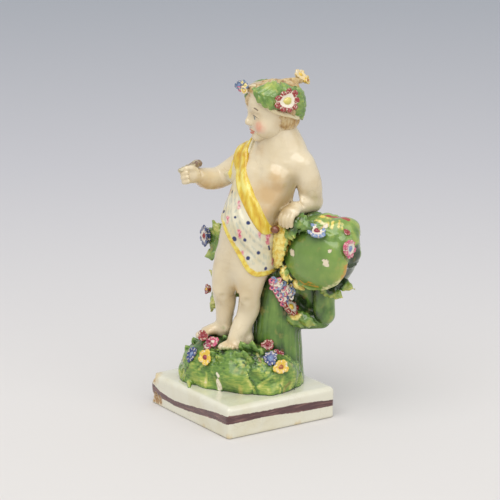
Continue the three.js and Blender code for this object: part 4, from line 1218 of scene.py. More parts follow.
# where shade is painted beside the left arm
OLIVE_SHADE = [(24.4, 3.4, 106), (23.4, 2.4, 100), (21.6, -0.6, 94), (18, -3, 89)]
arm_shade_amount = np.clip(1.3 - line_gap(child_points, OLIVE_SHADE) / 3.6, 0, 1)
x, y, z = child_points.T
touches = nearest_line(child_points, [
    [(1.2, -14.2, 31.4), (4.6, -13.6, 31.4)], [(-3.6, -7, 37), (-6, -6.6, 38)],
    [(-14, -12, 33.2), (-10, -13, 33.2)],
]) - 0.9
painted = {"flush_and_shade": flush_and_shade, "green_touch": touches, "painted_arm_shade": arm_shade_amount}
child = piece("child", child_points, child_faces, material, painted)
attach(child, "root")
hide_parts("pearlware_figure")


# The broken sprig: what is left in the right hand of something made apart and pushed into it while the
# clay was soft, a stem and a leaf. It is painted purple-brown, and the break shows the pale body.

clay = Clay((-22, -22, 104), (-11, -6, 117), 0.3)
SPRIG_STEM = [
    # x, y, z, half width, half depth
    (-17.4, -19.0, 109.2, 1.2, 0.9), (-16.8, -15.6, 109.8, 1.8, 1.0), (-15.8, -11.2, 110.4, 2.0, 1.2),
]
clay.add(broken(limb(SPRIG_STEM, (0, 0, 1)), 0.25), 0)
clay.add(broken(ball((-15.4, -11.4, 110.8), 2.2, 2.4, 1.5), 0.3), 0.6)
clay.add(broken(ball((-17.8, -19.2, 108.8), 1.3, 1.4, 1.1), 0.25), 0.4)
points, faces = clay.skin()
material, paint, shader = glazed("broken_sprig_brown", 0.25)
amount = paint.sum(paint.noise(paint.millimetres(), 0.45, 3.0), paint.brushed("away_from_break"))
stem = paint.ramp(amount, [
    (0.3, (110, 72, 58)), (0.5, (140, 118, 88)), (0.62, (176, 164, 128)),
    (0.78, (222, 208, 172)),
])
dipped(paint, shader, stem)
from_break = np.clip((-11 - points[:, 1]) / 12, 0, 1) * 0.34 - 0.06
sprig = piece("broken_sprig", points, faces, material, {"away_from_break": from_break})
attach(sprig, "root")
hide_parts("pearlware_figure")


# The cloth: a thin sheet of clay laid over the right shoulder and round the hips, with folds pressed in
# towards the left hip. It is left white under the clear glaze, with a yellow hem, blue spots and pink
# sprigs painted on it.

CLOTH_THICKNESS = 1.1
SASH_THICKNESS = 1.7


def side_gap(across, height, start, end):
    """How far each place of a grid across the front lies from a straight line between two places."""
    (ax, az), (bx, bz) = start, end
    wide, high = bx - ax, bz - az
    t = np.clip(((across - ax) * wide + (height - az) * high) / (wide**2 + high**2), 0, 1)
    return np.hypot(across - ax - t * wide, height - az - t * high)


def cut_gap(outline, across, height):
    """How far each place of a grid lies outside an outline of across and height, less than 0 inside."""
    outline = np.array(outline, float)
    near, crossings = np.full(np.broadcast(across, height).shape, 99.0), 0
    for (ax, az), (bx, bz) in zip(outline, np.roll(outline, -1, axis=0)):
        near = np.minimum(near, side_gap(across, height, (ax, az), (bx, bz)))
        level = (bx - ax) * (height - az) / (bz - az + 1e-9) + ax
        crossings = crossings + (((az > height) != (bz > height)) & (across < level))
    return np.where(crossings % 2 == 1, -near, near)


def smooth_outline(outline, steps=4):
    return smooth_line(list(outline) + [outline[0]], steps)[:-1]


CLOTH_CUT = [
    (4.4, 123), (4.2, 113), (9.4, 101.8), (14.2, 93.9), (17.2, 84.8), (19.5, 80), (24, 74), (24, 63),
    (15.4, 63.6), (12.4, 64.2), (9.2, 67), (6.4, 72), (3.4, 77), (0, 82), (-4, 85.5), (-16, 92),
    (-16, 104), (-6.5, 107), (-5, 113), (-3, 123),
]
SASH_CUT = [
    (3.8, 126), (3.0, 119.6), (4.4, 114), (7.0, 107.2), (11, 100.6), (14.5, 95.3), (17.3, 87.9),
    (18.0, 83.4), (15.8, 83.2), (12.0, 89), (7.4, 95.4), (2.2, 101.4), (-1.6, 106.4), (-4.2, 112.5),
    (-4.8, 119), (-4.4, 126),
]
FOLDS = [
    [(0.4, 100), (3.6, 91), (9, 81), (14.4, 73.4), (17, 70)],
    [(-2.4, 97), (0.6, 88), (5.4, 79), (11.4, 70.6)],
    [(-4.2, 92), (-1.6, 86), (2.4, 79.4), (7.6, 71.6)], [(3.2, 98), (7.6, 90.4), (12.4, 84), (17, 77)],
]


def fold_height(across, height):
    """How far the folds stand out, at places of a grid across the cloth's front."""
    lift = 0
    for fold in FOLDS:
        line = smooth_line(fold, 5)
        near = nearest_of(side_gap(across, height, start, end) for start, end in zip(line, line[1:]))
        lift = np.maximum(lift, 0.38 * np.exp(-((near / 0.8) ** 2)))
    return lift


def draped(thickness, outline, folds, low, high, cell):
    """Clay laid over the child's body inside an outline seen from the front."""
    clay = Clay(low, high, cell)
    clay.add(TRUNK, 0).add(BELLY, 3).add(SEAT[0], 1.6).add(SEAT[1], 1.6)
    clay.add(limb([(*HIP["left"], 7.4), (7.0, -2.6, 62, 6.9)]), 2.5)
    clay.add(limb([(*HIP["right"], 7.4), (-5.8, -2.6, 62, 6.7)]), 2.5)
    clay.add(limb([(*SHOULDER["right"], 5.8), (-7.4, 4.8, 107, 5.4)]), 2.4)
    clay.add(limb([(*NECK, 8.8, 7.6), (*(NECK + [0, 0.2, 4.5]), 7.4)]), 3)
    across, height = clay.axes[0][:, None], clay.axes[2][None, :]
    edge = cut_gap(smooth_outline(outline), across, height)[:, None, :]
    lift = folds(across, height)[:, None, :]
    skin = clay.gap - thickness - lift
    inner = -(clay.gap + 1.6)
    bridge = np.maximum(1.4 - np.abs(skin - edge), 0)
    clay.gap = np.maximum(np.maximum(skin, edge) + bridge**2 / 5.6, inner).astype(np.float32)
    return clay


clay = draped(CLOTH_THICKNESS, CLOTH_CUT, fold_height, (-19, -16, 60), (27, 20, 126), 0.42)
points, faces = clay.skin()
x, y, z = points.T
LOWER_HEM = [
    # seen from the front, across and up
    (24, 63), (15.4, 63.6), (12.4, 64.2), (9.2, 67), (6.4, 72), (3.4, 77), (0, 82), (-4, 85.5),
    (-9, 88.8), (-16, 92),
]


def front_gap(line):
    """How far the points lie from a line of across and up, seen from the front."""
    return line_gap(np.stack([x, 0 * x, z], 1), [(across, 0, up) for across, up in line])


lower_edge = front_gap(smooth_line(LOWER_HEM, 4)) - 2.9
front_edge = line_gap(points, smooth_line([
    (-3.4, -1.6, 114), (-4.8, -1.4, 109.5), (-5.4, -1.2, 105), (-5.8, -2.6, 99), (-5.2, -5.2, 93),
    (-4.0, -7.8, 87.5), (-1.6, -10.2, 83),
], 4)) - 0.8
hem = np.minimum(lower_edge, front_edge)


def on_skin(places):
    """The points of the skin nearest to places that were judged, with their further numbers."""
    found = [points[np.argmin(np.sum((points - place[:3]) ** 2, axis=1))] for place in places]
    return [(*where, *place[3:]) for where, place in zip(found, places)]


BLUE_SPOTS = on_skin([
    # x, y, z and radius of each dot
    (11.3, -10.4, 88.1, 0.85), (5.7, -12.9, 80.7, 1.1), (10.3, -11.5, 81.0, 0.8),
    (14.2, -6.8, 74.9, 0.85), (11.1, -10.2, 72.8, 0.9), (15.9, -3.9, 67.6, 0.85),
    (5.2, -11.9, 90.3, 0.65), (-0.4, -5.9, 99.4, 0.75), (-3.3, -8.6, 90.8, 0.75), (-4.6, -3.2, 98, 0.7),
    (19.4, 2, 72, 0.8), (20.4, 4.4, 78.6, 0.8), (8, 13, 94, 0.8), (4, 12.6, 84, 0.8),
    (12, 13.6, 86, 0.8), (0, 12.2, 92, 0.8), (9, 12.4, 74, 0.8), (15, 11, 76, 0.8), (-7, 4, 84, 0.8),
    (-6, 6, 98, 0.8),
])
PINK_SPRIGS = on_skin([
    # x, y, z and half height of each sprig
    (5.8, -9.4, 95.2, 2.2), (1.1, -11.9, 88.8, 2.0), (8.5, -12.3, 83.3, 2.3), (15.4, -7.5, 83.0, 1.5),
    (18.2, -4.2, 80.8, 2.9), (8.4, -10.6, 73.7, 2.2), (-3.6, -3.8, 98.6, 1.8), (18.4, 0.4, 69.4, 1.6),
    (-7.6, -1, 93, 1.7), (6, 13, 89, 2), (13, 12.6, 81, 2), (2, 12, 78, 2), (-4, 9, 90, 2),
])
LARGE_SPRIG_BLUE = on_skin([(16.9, -3.2, 77.6), (17.4, -2.6, 75.6)])
spots = nearest_of(np.linalg.norm(points - place, axis=1) - radius for *place, radius in BLUE_SPOTS)
spots = np.minimum(spots, line_gap(points, LARGE_SPRIG_BLUE) - 0.5)
DOWN = np.array([0.16, 0, -1])  # the sprigs hang a little to the child's left
petals, buds, hearts, stalks = [], [], [], []
for *place, size in PINK_SPRIGS:
    near = points - place
    petals.append(np.linalg.norm((near + DOWN * size * 0.42) * [1.15, 1.15, 1], axis=1) - size * 0.5)
    buds.append(np.linalg.norm((near - DOWN * size * 0.5) * [1, 1, 0.9], axis=1) - size * 0.4)
    hearts.append(np.linalg.norm(near - DOWN * size * 0.2, axis=1) - size * 0.2)
    stalks.append(line_gap(points, [place - DOWN * size * 0.7, place + DOWN * size * 1.2]) - 0.25)
shade_lines = nearest_of(
    front_gap([(across + shift, up - 0.4) for across, up in smooth_line(fold, 4)])
    for fold in FOLDS for shift in (-1.1, 1.3)
)

material, paint, shader = glazed("spotted_white_cloth", 0.22)
where = paint.millimetres()
white = paint.clouded(where, 0.14, 0.4, 0.7, colour(226, 218, 190), colour(214, 202, 164))
streaks = paint.noise(paint.stretched(where, (0.9, 0.9, 0.25)), 1.0, 3.0)
grey = paint.times(paint.rise(paint.brushed("fold_shade"), 0.9, 0.1), paint.rise(streaks, 0.4, 0.62))
white = paint.mix(paint.times(grey, 0.55), white, colour(166, 176, 166))
# pooled glaze and painted shade in the hollows
white = paint.pooled_and_shaded(0.2, 1.1, 0.5, white, colour(176, 158, 116))
pink = paint.clouded(where, 1.1, 0.4, 0.62, colour(206, 88, 116), colour(232, 160, 168), 2.0)
white = paint.marked("stalks", 0.5, 0.3, white, colour(120, 110, 150), 0.55)
white = paint.marked("sprigs", 0.7, 0.4, white, pink, 0.85)
white = paint.marked("hearts", 0.5, 0.3, white, colour(176, 52, 84), 0.8)
white = paint.marked("spots", 0.25, 0.25, white, colour(36, 46, 96))
yellow = paint.clouded(where, 0.45, 0.4, 0.68, colour(238, 218, 96), colour(222, 182, 54))
white = paint.marked("hem", 0.7, 0.35, white, yellow)
dipped(paint, shader, white, 0.7)
painted = {
    "hem": hem, "spots": spots, "sprigs": nearest_of(petals + buds), "hearts": nearest_of(hearts),
    "stalks": nearest_of(stalks), "fold_shade": shade_lines,
}
cloth = piece("spotted_cloth", points, faces, material, painted)
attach(cloth, "root")
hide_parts("pearlware_figure")


# The sash: the cloth's upper edge, rolled over into a broad band from the right shoulder to the left hip,
# with its creases drawn in the soft clay. Strong yellow was brushed along it and ran thin on the ridges,
# and the knot at its lower end is brown. A brown painted shadow lies on the sash beside the neck.

SASH_LINE = [(-0.6, 123), (0.2, 112), (4.6, 104), (9.6, 97), (14.6, 88.6), (17.4, 83)]
CREASE = 0.16


def sash_folds(across, height):
    line = smooth_line(SASH_LINE, 6)
    near = np.full(np.broadcast(across, height).shape, 99.0)
    side = np.zeros_like(near)
    for (ax, az), (bx, bz) in zip(line, line[1:]):
        gap = side_gap(across, height, (ax, az), (bx, bz))
        way = (across - ax) * (bz - az) - (height - az) * (bx - ax)
        side = np.where(gap < near, np.sign(way), side)
        near = np.minimum(near, gap)
    return CREASE * np.cos(near * side * 2 * math.pi / 3.4 + height / 7) * np.exp(-((near / 5.5) ** 4))


clay = draped(SASH_THICKNESS, SASH_CUT, sash_folds, (-8, -14, 78), (22, 20, 127), 0.38)
clay.add(ball((19.8, -2.4, 85.0), 2.0, 2.0, 1.8), 0.6)
clay.cut(limb([(18.4, -4.2, 86, 0.25), (19.8, -4.4, 84.8, 0.3), (21.4, -3.6, 84.2, 0.25)]), 0.4)
points, faces = clay.skin()
x, y, z = points.T
material, paint, shader = glazed("sash_yellow", 0.2)
where = paint.millimetres()
drag = paint.noise(paint.stretched(where, (0.55, 0.55, 0.14)), 1.0, 4.0)
# deeper yellow in the hollows, for pooled glaze and painted shade
amount = paint.sum(paint.times(drag, 1.0), paint.times(paint.brushed("pooled_glaze_and_shade"), 0.22))
amount = paint.sum(amount, paint.times(paint.brushed("fold"), -0.07))
amount = paint.sum(amount, paint.brushed("loaded"))
yellow = paint.ramp(amount, [
    (0.25, (236, 222, 122)), (0.43, (226, 198, 70)), (0.58, (214, 176, 46)),
    (0.72, (200, 150, 36)), (0.9, (170, 116, 44)),
])
brown = paint.clouded(where, 0.6, 0.4, 0.7, colour(132, 74, 48), colour(96, 60, 40))
yellow = paint.marked("knot_and_shadow", 0.6, 0.3, yellow, brown)
dipped(paint, shader, yellow, 0.7)
knot_and_shadow = np.linalg.norm((points - [20.0, -2.8, 85.2]) * [1, 1, 1.1], axis=1) - 2.2
# a brown painted shadow on the sash beside the neck
shadow = line_gap(points, [(6.6, 1.2, 119.6), (7.4, 0.6, 117.6)]) - 0.7
loaded = np.interp(z, [84, 92, 99, 103, 108, 114, 120], [0.1, 0.08, 0.1, -0.12, -0.02, 0.1, 0.06])
loaded = loaded - 0.2 * np.clip(1 - np.abs(cut_gap(smooth_outline(SASH_CUT), x, z)) / 1.1, 0, 1) * (z < 104)
painted = {"knot_and_shadow": np.minimum(knot_and_shadow, shadow), "fold": sash_folds(x, z) / CREASE, "loaded": loaded}
sash = piece("yellow_sash", points, faces, material, painted)
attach(sash, "root")
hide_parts("pearlware_figure")


# The head: pressed on its own in a two-part mould and stuck on to the neck, turned to the child's right.
# The face is plain and calm: brows, eyes and lips are painted with a fine brush and the cheeks blushed.
# The hair is scored in short locks and washed with ochre.

HEAD = np.array([12.4, 5.8, 134.2])
HEAD_TURN = math.radians(-34)
HEAD_NOD = math.radians(1.5)
EYE_BROWN = colour(62, 44, 36)


def head_placed(points):
    """Points of the head's own directions, towards the child's left, the back and the crown, in place."""
    x, y, z = np.array(points, float).T
    y, z = y * math.cos(HEAD_NOD) - z * math.sin(HEAD_NOD), y * math.sin(HEAD_NOD) + z * math.cos(HEAD_NOD)
    return turned(np.stack([x, y, z], axis=1), HEAD_TURN) + HEAD


def put_on_the_neck():
    """Notes the clay of the last block where the head is, for the pooled glaze and painted shade."""
    grid, volume = lumps_of_clay.pop()
    lumps_of_clay.append((head_placed(grid), volume))


clay = Clay((-13.6, -14.4, -14), (13.6, 16.4, 15.6), 0.27)
clay.add(ball((0, 0.6, 3.2), 10.3, 11.2, 9.9), 0)
clay.add(ball((0, -2.4, -3.6), 8.6, 8.0, 8.8), 3)
clay.add(ball((0, -4.4, 3.6), 8.4, 6.0, 6.4), 2.5)
for side in (1, -1):
    clay.add(ball((side * 4.6, -5.6, -5.4), 4.3, 4.0, 4.2), 1.8)  # the cheeks
clay.add(ball((0, -7.2, -10.2), 2.9, 2.5, 2.2), 1.6)
for side in (-1, 1):
    clay.cut(ball((side * 3.9, -11.4, -1.0), 2.5, 1.9, 1.7), 1.6)
    clay.add(ball((side * 3.95, -7.6, -1.4), 2.5, 2.2, 1.75), 0.3)
    lid = [
        (side * 1.9, -8.9, -1.5, 0.30), (side * 2.9, -9.75, -0.55, 0.36),
        (side * 4.1, -9.75, -0.35, 0.38), (side * 5.3, -9.2, -0.75, 0.34),
        (side * 6.1, -8.3, -1.5, 0.28),
    ]
    clay.add(limb(lid), 0.3)
    lower = [
        (side * 2.1, -9.0, -1.8, 0.22), (side * 3.2, -9.4, -2.55, 0.26), (side * 4.5, -9.2, -2.6, 0.26),
        (side * 5.8, -8.5, -1.9, 0.2),
    ]
    clay.add(limb(lower), 0.3)
    clay.add(limb([
        (side * 1.6, -9.7, 1.4, 0.5), (side * 3.6, -9.9, 2.3, 0.6), (side * 6.2, -8.8, 1.6, 0.4)
    ]), 1.2)
    clay.add(ball((side * 1.15, -10.5, -4.3), 0.85, 0.9, 0.75), 0.6)
clay.add(limb([(0, -9.6, 1.6, 0.9), (0, -10.3, -0.8, 0.95), (0, -11.2, -3.0, 1.15)]), 1.3)
clay.add(ball((0, -11.4, -3.8), 1.35, 1.25, 1.15), 0.8)
for side in (1, -1):
    clay.cut(ball((side * 0.75, -11.2, -5.05), 0.32, 0.4, 0.28), 0.2)
clay.cut(limb([(0, -10.6, -5.4, 0.25), (0, -10.5, -6.4, 0.3)]), 0.5)
clay.add(limb([
    (-2.1, -8.9, -7.45, 0.35), (-0.95, -9.85, -7.0, 0.58), (0, -10.0, -7.2, 0.5),
    (0.95, -9.85, -7.0, 0.58), (2.1, -8.9, -7.45, 0.35),
]), 0.5)
clay.add(limb([(-1.7, -9.0, -8.2, 0.35), (0, -9.75, -8.45, 0.72), (1.7, -9.0, -8.2, 0.35)]), 0.5)
clay.cut(limb([(-2.3, -9.2, -7.65, 0.16), (0, -10.5, -7.78, 0.22), (2.3, -9.2, -7.65, 0.16)]), 0.35)
clay.cut(ball((0, -10.4, -9.5), 1.5, 0.7, 0.45), 0.9)

# hair: a scored cap over the wreath's ridge, and a flatter patch below it over the nape

RIDGE_ANGLES = [0, 25, 47, 71, 108, 130, 180]
RIDGE_HEIGHTS = [9.6, 8.6, 4.8, 2.1, -0.7, -2.5, -3.5]


def hairline(x, y, z):
    """Over 0 where hair grows, in mm."""
    angle = np.degrees(np.arctan2(np.abs(x), 1 - y))
    above = (z - np.interp(angle, RIDGE_ANGLES, RIDGE_HEIGHTS)) * 0.8
    nape = np.minimum((angle - 84) * 0.17, z + 6.9)
    return np.maximum(above, nape) + 0.25 * np.sin(1.5 * x + z)


def hair_gap(x, y, z):
    lock = np.arctan2(x, y - 3)
    fall = np.clip((13.5 - z) / 9, 0, 1)
    strand = 0.16 * np.cos(17 * lock + 1.6 * np.sin(0.55 * z + 2 * lock))
    strand = strand + 0.1 * fall * np.cos(43 * lock + 0.8 * z)
    cap = oval_gap(x, y - 0.7, z - 3.0, 11.0, 11.8, 10.8) - strand
    nape = oval_gap(x, y - 4.0, z + 3.2, 8.9, 7.4, 6.8) - strand
    cap = np.minimum(cap, nape)
    edge = -hairline(x, y, z) * 0.8
    return np.maximum(cap, edge) + np.maximum(0.8 - np.abs(cap - edge), 0) ** 2 / 3.2


clay.add(ball((0, 4.0, -3.2), 8.5, 7.0, 6.6), 2)
clay.add([(np.array([-12.5, -12.5, -11]), np.array([12.5, 13.5, 14.6]), hair_gap)], 0.25)
clay.add(ball((0, -5.5, 9.6), 7.2, 5.5, 3.4), 1.6).add(ball((0, 6.6, 9.6), 7.2, 5.2, 3.4), 1.6)
BROW_CURL = [
    # x, y, z, half width
    (0.8, -9.4, 8.4, 0.9), (-0.8, -10.9, 6.6, 1.0), (-1.0, -11.2, 4.6, 0.8), (-0.2, -11.1, 3.6, 0.45),
]
TOP_LOCK = [(0.6, 5.6, 11.8, 2.0), (0.2, 10, 12.2, 1.6), (-0.8, 13.2, 12.0, 1.3)]
STRANDS = 60
for lock in (BROW_CURL, TOP_LOCK):
    clay.add(limb(lock), 0.6)
for strand in range(STRANDS):
    # the strands are scored with a point, from the crown outwards
    angle, out = seed.uniform(0, 2 * math.pi), seed.uniform(0.1, 0.7)
    stroke = []
    for t in (0, 0.5, 1):
        share = out + 0.3 * t
        x, y = 10.6 * share * math.sin(angle + 0.2 * t), 0.7 - 11.4 * share * math.cos(angle + 0.2 * t)
        stroke.append((x, y, 3 + 10.9 * math.sqrt(max(1 - share * share, 0.02)), 0.22))
    clay.cut(limb(stroke, steps=2), 0.25)
points, faces = clay.skin()
put_on_the_neck()

x, y, z = points.T
hair = -hairline(x, y, z) * 0.8
for lock in (BROW_CURL, TOP_LOCK):
    hair = np.minimum(hair, line_gap(points, lock) - 0.25)
mirrored = points.copy()
mirrored[:, 0] = np.abs(x)
front = y < -4
BROW_LINE = [(1.9, -10.2, 2.3), (3.6, -10.4, 3.1), (5.4, -9.8, 2.9), (6.6, -9.0, 2.2)]
LASH_LINE = [
    (1.9, -9.1, -1.4), (2.9, -10.0, -0.55), (4.1, -10.1, -0.3), (5.3, -9.5, -0.7), (6.2, -8.5, -1.5),
]
UPPER_LIP = [
    (-2.0, -9.1, -7.5), (-0.95, -10.3, -7.1), (0, -10.4, -7.3), (0.95, -10.3, -7.1), (2.0, -9.1, -7.5),
]
LOWER_LIP = [(-1.5, -9.4, -8.2), (0, -10.4, -8.4), (1.5, -9.4, -8.2)]
brows = line_gap(mirrored, BROW_LINE) - 0.28
lashes = line_gap(mirrored, smooth_line(LASH_LINE, 4)) - 0.2
irises = np.linalg.norm(mirrored - [3.95, -9.8, -1.35], axis=1) - 0.92
pupils = np.linalg.norm(mirrored - [3.95, -9.8, -1.3], axis=1) - 0.42
lips = np.minimum(line_gap(points, UPPER_LIP) - 0.42, line_gap(points, LOWER_LIP) - 0.5)
cheek = np.linalg.norm((mirrored - [6.0, -7.8, -5.0]) * [1, 1, 1.1], axis=1)
chin = np.linalg.norm(points - [0, -9, -11.6], axis=1)
blush = np.exp(-((cheek / 3.0) ** 2)) + 0.35 * np.exp(-((chin / 2.2) ** 2))

material, paint, shader = glazed("face_and_hair_glaze", 0.2)
where = paint.millimetres()
ware = paint.clouded(where, 0.12, 0.4, 0.75, IVORY, colour(213, 192, 155))
# pooled clear glaze and painted shade in the hollows
ware = paint.pooled_and_shaded(0.2, 1.2, 0.3, ware, POOLED_CLEAR_AND_SHADE)
cheek = paint.times(paint.brushed("blush"), paint.sum(paint.noise(where, 0.35, 2.0), 0.32))
ware = paint.mix(paint.rise(cheek, 0.06, 0.95), ware, colour(222, 138, 112))
ware = paint.marked("lips", 0.15, 0.15, ware, colour(196, 92, 78), 0.8)
ware = paint.marked("irises", 0.0, 0.1, ware, colour(96, 122, 134), 0.9)
ware = paint.marked("pupils", 0.0, 0.08, ware, EYE_BROWN)
ware = paint.marked("lashes", 0.12, 0.1, ware, EYE_BROWN, 0.85)
ware = paint.marked("brows", 0.2, 0.12, ware, colour(96, 68, 44), 0.85)
drag = paint.noise(paint.stretched(where, (0.7, 0.7, 0.3)), 1.0, 4.0)
# deeper ochre in the hollows, for pooled glaze and painted shade
amount = paint.sum(paint.sum(drag, -0.02), paint.times(paint.brushed("pooled_glaze_and_shade"), 0.2))
ochre = paint.ramp(amount, [
    (0.3, (206, 182, 132)), (0.46, (186, 152, 94)), (0.6, (156, 118, 64)),
    (0.8, (108, 78, 42)),
])
ware = paint.marked("hair", 1.2, 0.7, ware, ochre)
dipped(paint, shader, ware, 0.6)
painted = {"brows": brows, "lashes": lashes, "irises": irises, "pupils": pupils, "lips": lips}
painted = {label: np.where(front, gap, 5.0) for label, gap in painted.items()}
painted |= {"hair": hair, "blush": blush}
head = piece("head", head_placed(points), faces, material, painted)
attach(head, "root")
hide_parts("pearlware_figure")


# The wreath: broad leaves bent round the head and pressed down on the hair, over a ridge of clay. They
# are green, and the ridge was left as cream ware. The flowers on it come with the others.


def on_hair(degrees, height, out=0.0):
    """A point of the hair in the head's own directions, from the angle round the head in degrees, from
    the brow round by the child's left, and its height."""
    angle = math.radians(degrees)
    narrow = math.sqrt(1 - ((height - 3) / 11) ** 2)
    return np.array([
        (11 * narrow + out) * math.sin(angle), 0.7 - (11.8 * narrow + out) * math.cos(angle), height,
    ])


def leaf_round_the_head(start, low, end, high, wide, tip_out=-0.5, thick=1.1):
    """A leaf bent round the hair, from the angle and height of its stem to those of its tip."""
    middle = math.radians((start + end) / 2)
    stem = ((math.radians(start) - middle) * 11, -0.5, low)
    tip = ((math.radians(end) - middle) * 11, tip_out, high)
    flat = leaf(stem, tip, (0, -1, 0), wide, thick, 0.6, 0.13, 0.8)[0][2]

    def gap(x, y, z):
        angle = (np.arctan2(x, 1 - y) - middle + math.pi) % (2 * math.pi) - math.pi
        return flat(angle * 11, -oval_gap(x, y - 0.7, z - 3, 11.2, 12, 11), z)

    along = np.array([
        on_hair(start + (end - start) * t, np.clip(low + (high - low) * t, -7, 13), 0.5)
        for t in (0, 0.25, 0.5, 0.75, 1)
    ])
    reach = wide / 2 + 1.5
    return [(along.min(0) - reach, along.max(0) + reach, gap)]


clay = Clay((-16, -17, -8), (16, 18, 17), 0.3)
wreath_leaves = [
    # angle and height of the stem, then of the tip, width, and how far out the tip is
    (98, 7.0, 20, 11.0, 11.6, -2.2), (-18, 10.6, -84, 5.4, 9.6, -0.5), (-98, 6.4, -146, 3.0, 9, -0.5),
    (-176, 5, -132, 6.6, 9, -0.5), (196, 6, 166, -1.4, 7.5, -0.5), (84, 9.6, 132, 10.6, 6.5, -0.5),
    (-60, 9.6, -100, 10.2, 6, -0.5),
]
for start, low, end, high, wide, tip_out in wreath_leaves:
    clay.add(leaf_round_the_head(start, low, end, high, wide, tip_out), 0.3)
clay.add(ball(on_hair(141, 3.6, -2.6), 4.4, 4.4, 6.4), 1.5)
side_leaf = [on_hair(131, 10.6, 2.6), on_hair(149, -3.2, 2.2)]
clay.add(leaf(*side_leaf, on_hair(128, 3) - on_hair(128, 3, -4), 8.4, 1.2, 1.0, 0.15), 0.4)
ridge = []
for angle in range(-180, 181, 9):
    height = float(np.interp(abs(angle), RIDGE_ANGLES, RIDGE_HEIGHTS))
    ridge.append((*on_hair(angle, height, 0.1), 0.85 + 0.2 * math.sin(angle / 11)))
clay.add(limb(ridge, steps=2), 0.7)
stub = [
    (*on_hair(24, 10.2, 0.4), 1.7), (*on_hair(12, 11.0, 0.8), 1.5), (*on_hair(2, 11.0, 1.4), 1.3),
    (*on_hair(-8, 10.6, 2.6), 1.0),
]
clay.add(limb(stub), 0.6)
points, faces = clay.skin()
put_on_the_neck()
material, paint, shader = glazed("wreath_green", 0.16)
leafy = paint.group(green_wash, paint.brushed("thickness"), (0.3, 0.3, 0.3), 0.2, 0.8)
streaks = paint.noise(paint.stretched(paint.millimetres(), (0.9, 0.9, 0.35)), 1.0, 3.0)
leafy = paint.mix(paint.times(paint.rise(streaks, 0.56, 0.66), 0.35), leafy, colour(206, 198, 112))
leafy = paint.marked("bare", 0.5, 0.3, leafy, colour(226, 210, 168))
dipped(paint, shader, leafy, 0.9)
bare = np.minimum(line_gap(points, ridge) - 0.45, line_gap(points, stub[1:]) - 0.35)
painted = {"bare": bare, "thickness": np.full(len(points), 0.2)}
wreath = piece("leaf_wreath", head_placed(points), faces, material, painted)
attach(wreath, "root")
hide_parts("pearlware_figure")


# The flowers: small sprigs pressed in moulds and stuck on with slip while the ware was damp, on the
# wreath, the horn, the sprays and the mound. Each is painted petal by petal in on-glaze colours, with
# cream ware showing where the brush missed.


def petal_place(points, centre, shows, petals, spin):
    """Where points lie in a flower: how far out from its heart, how far up, and round from a petal."""
    x, y, z = (points[i] - centre[i] for i in range(3))
    out = unit(shows)
    across = unit(np.cross(out, (0.3, 0.2, 1)))
    u, v, n = (x * d[0] + y * d[1] + z * d[2] for d in (across, np.cross(out, across), out))
    angle = np.arctan2(v, u)
    ragged = 1 + 0.09 * np.sin(2 * angle + 9 * spin) + 0.07 * np.sin(3 * angle + 17 * spin)
    half = math.pi / petals
    return np.sqrt(u * u + v * v) / ragged, n, (angle + spin + half) % (2 * half) - half


def flower(centre, shows, radius, petals=5, thick=1.5, spin=0.0, cup=0.5):
    """A flower with rounded petals, a raised heart and a back that is sunk in what carries it."""
    centre = np.array(centre, float)
    half_slice = math.pi / petals

    def gap(x, y, z):
        reach, n, folded = petal_place((x, y, z), centre, shows, petals, spin)
        a, b = reach * np.cos(folded), reach * np.sin(folded)
        lift = n - cup * thick * np.clip(reach / radius, 0, 1.2) ** 2 - 0.2 * thick
        broad = radius * math.sin(half_slice) * 0.8
        petal = oval_gap(a - 0.6 * radius, b, lift, 0.43 * radius, broad, thick * 0.5)
        petal = petal + 0.2 * np.exp(-((b / 0.35) ** 2)) * (a > 0.35 * radius)
        heart = oval_gap(reach, 0, n - 0.5 * thick, 0.27 * radius, 0.27 * radius, 0.6 * thick)
        back = oval_gap(reach, 0, n + 0.35 * thick, 0.74 * radius, 0.74 * radius, 0.8 * thick)
        return np.minimum(np.minimum(petal, heart), back)

    reach = radius * 1.2 + thick
    return [(centre - reach, centre + reach, gap)]


def on_head(x, y, z):
    """A point given in the head's own directions."""
    return head_placed([[x, y, z]])[0]


def round_head(degrees, reach, height):
    """A point round the head, from its angle, how far it is from the head's middle line, and its height."""
    angle = math.radians(degrees)
    return on_head(reach * math.sin(angle), -reach * math.cos(angle), height)


def head_way(x, y, z):
    """A direction of the head's own, as the child's."""
    return on_head(x, y, z) - HEAD


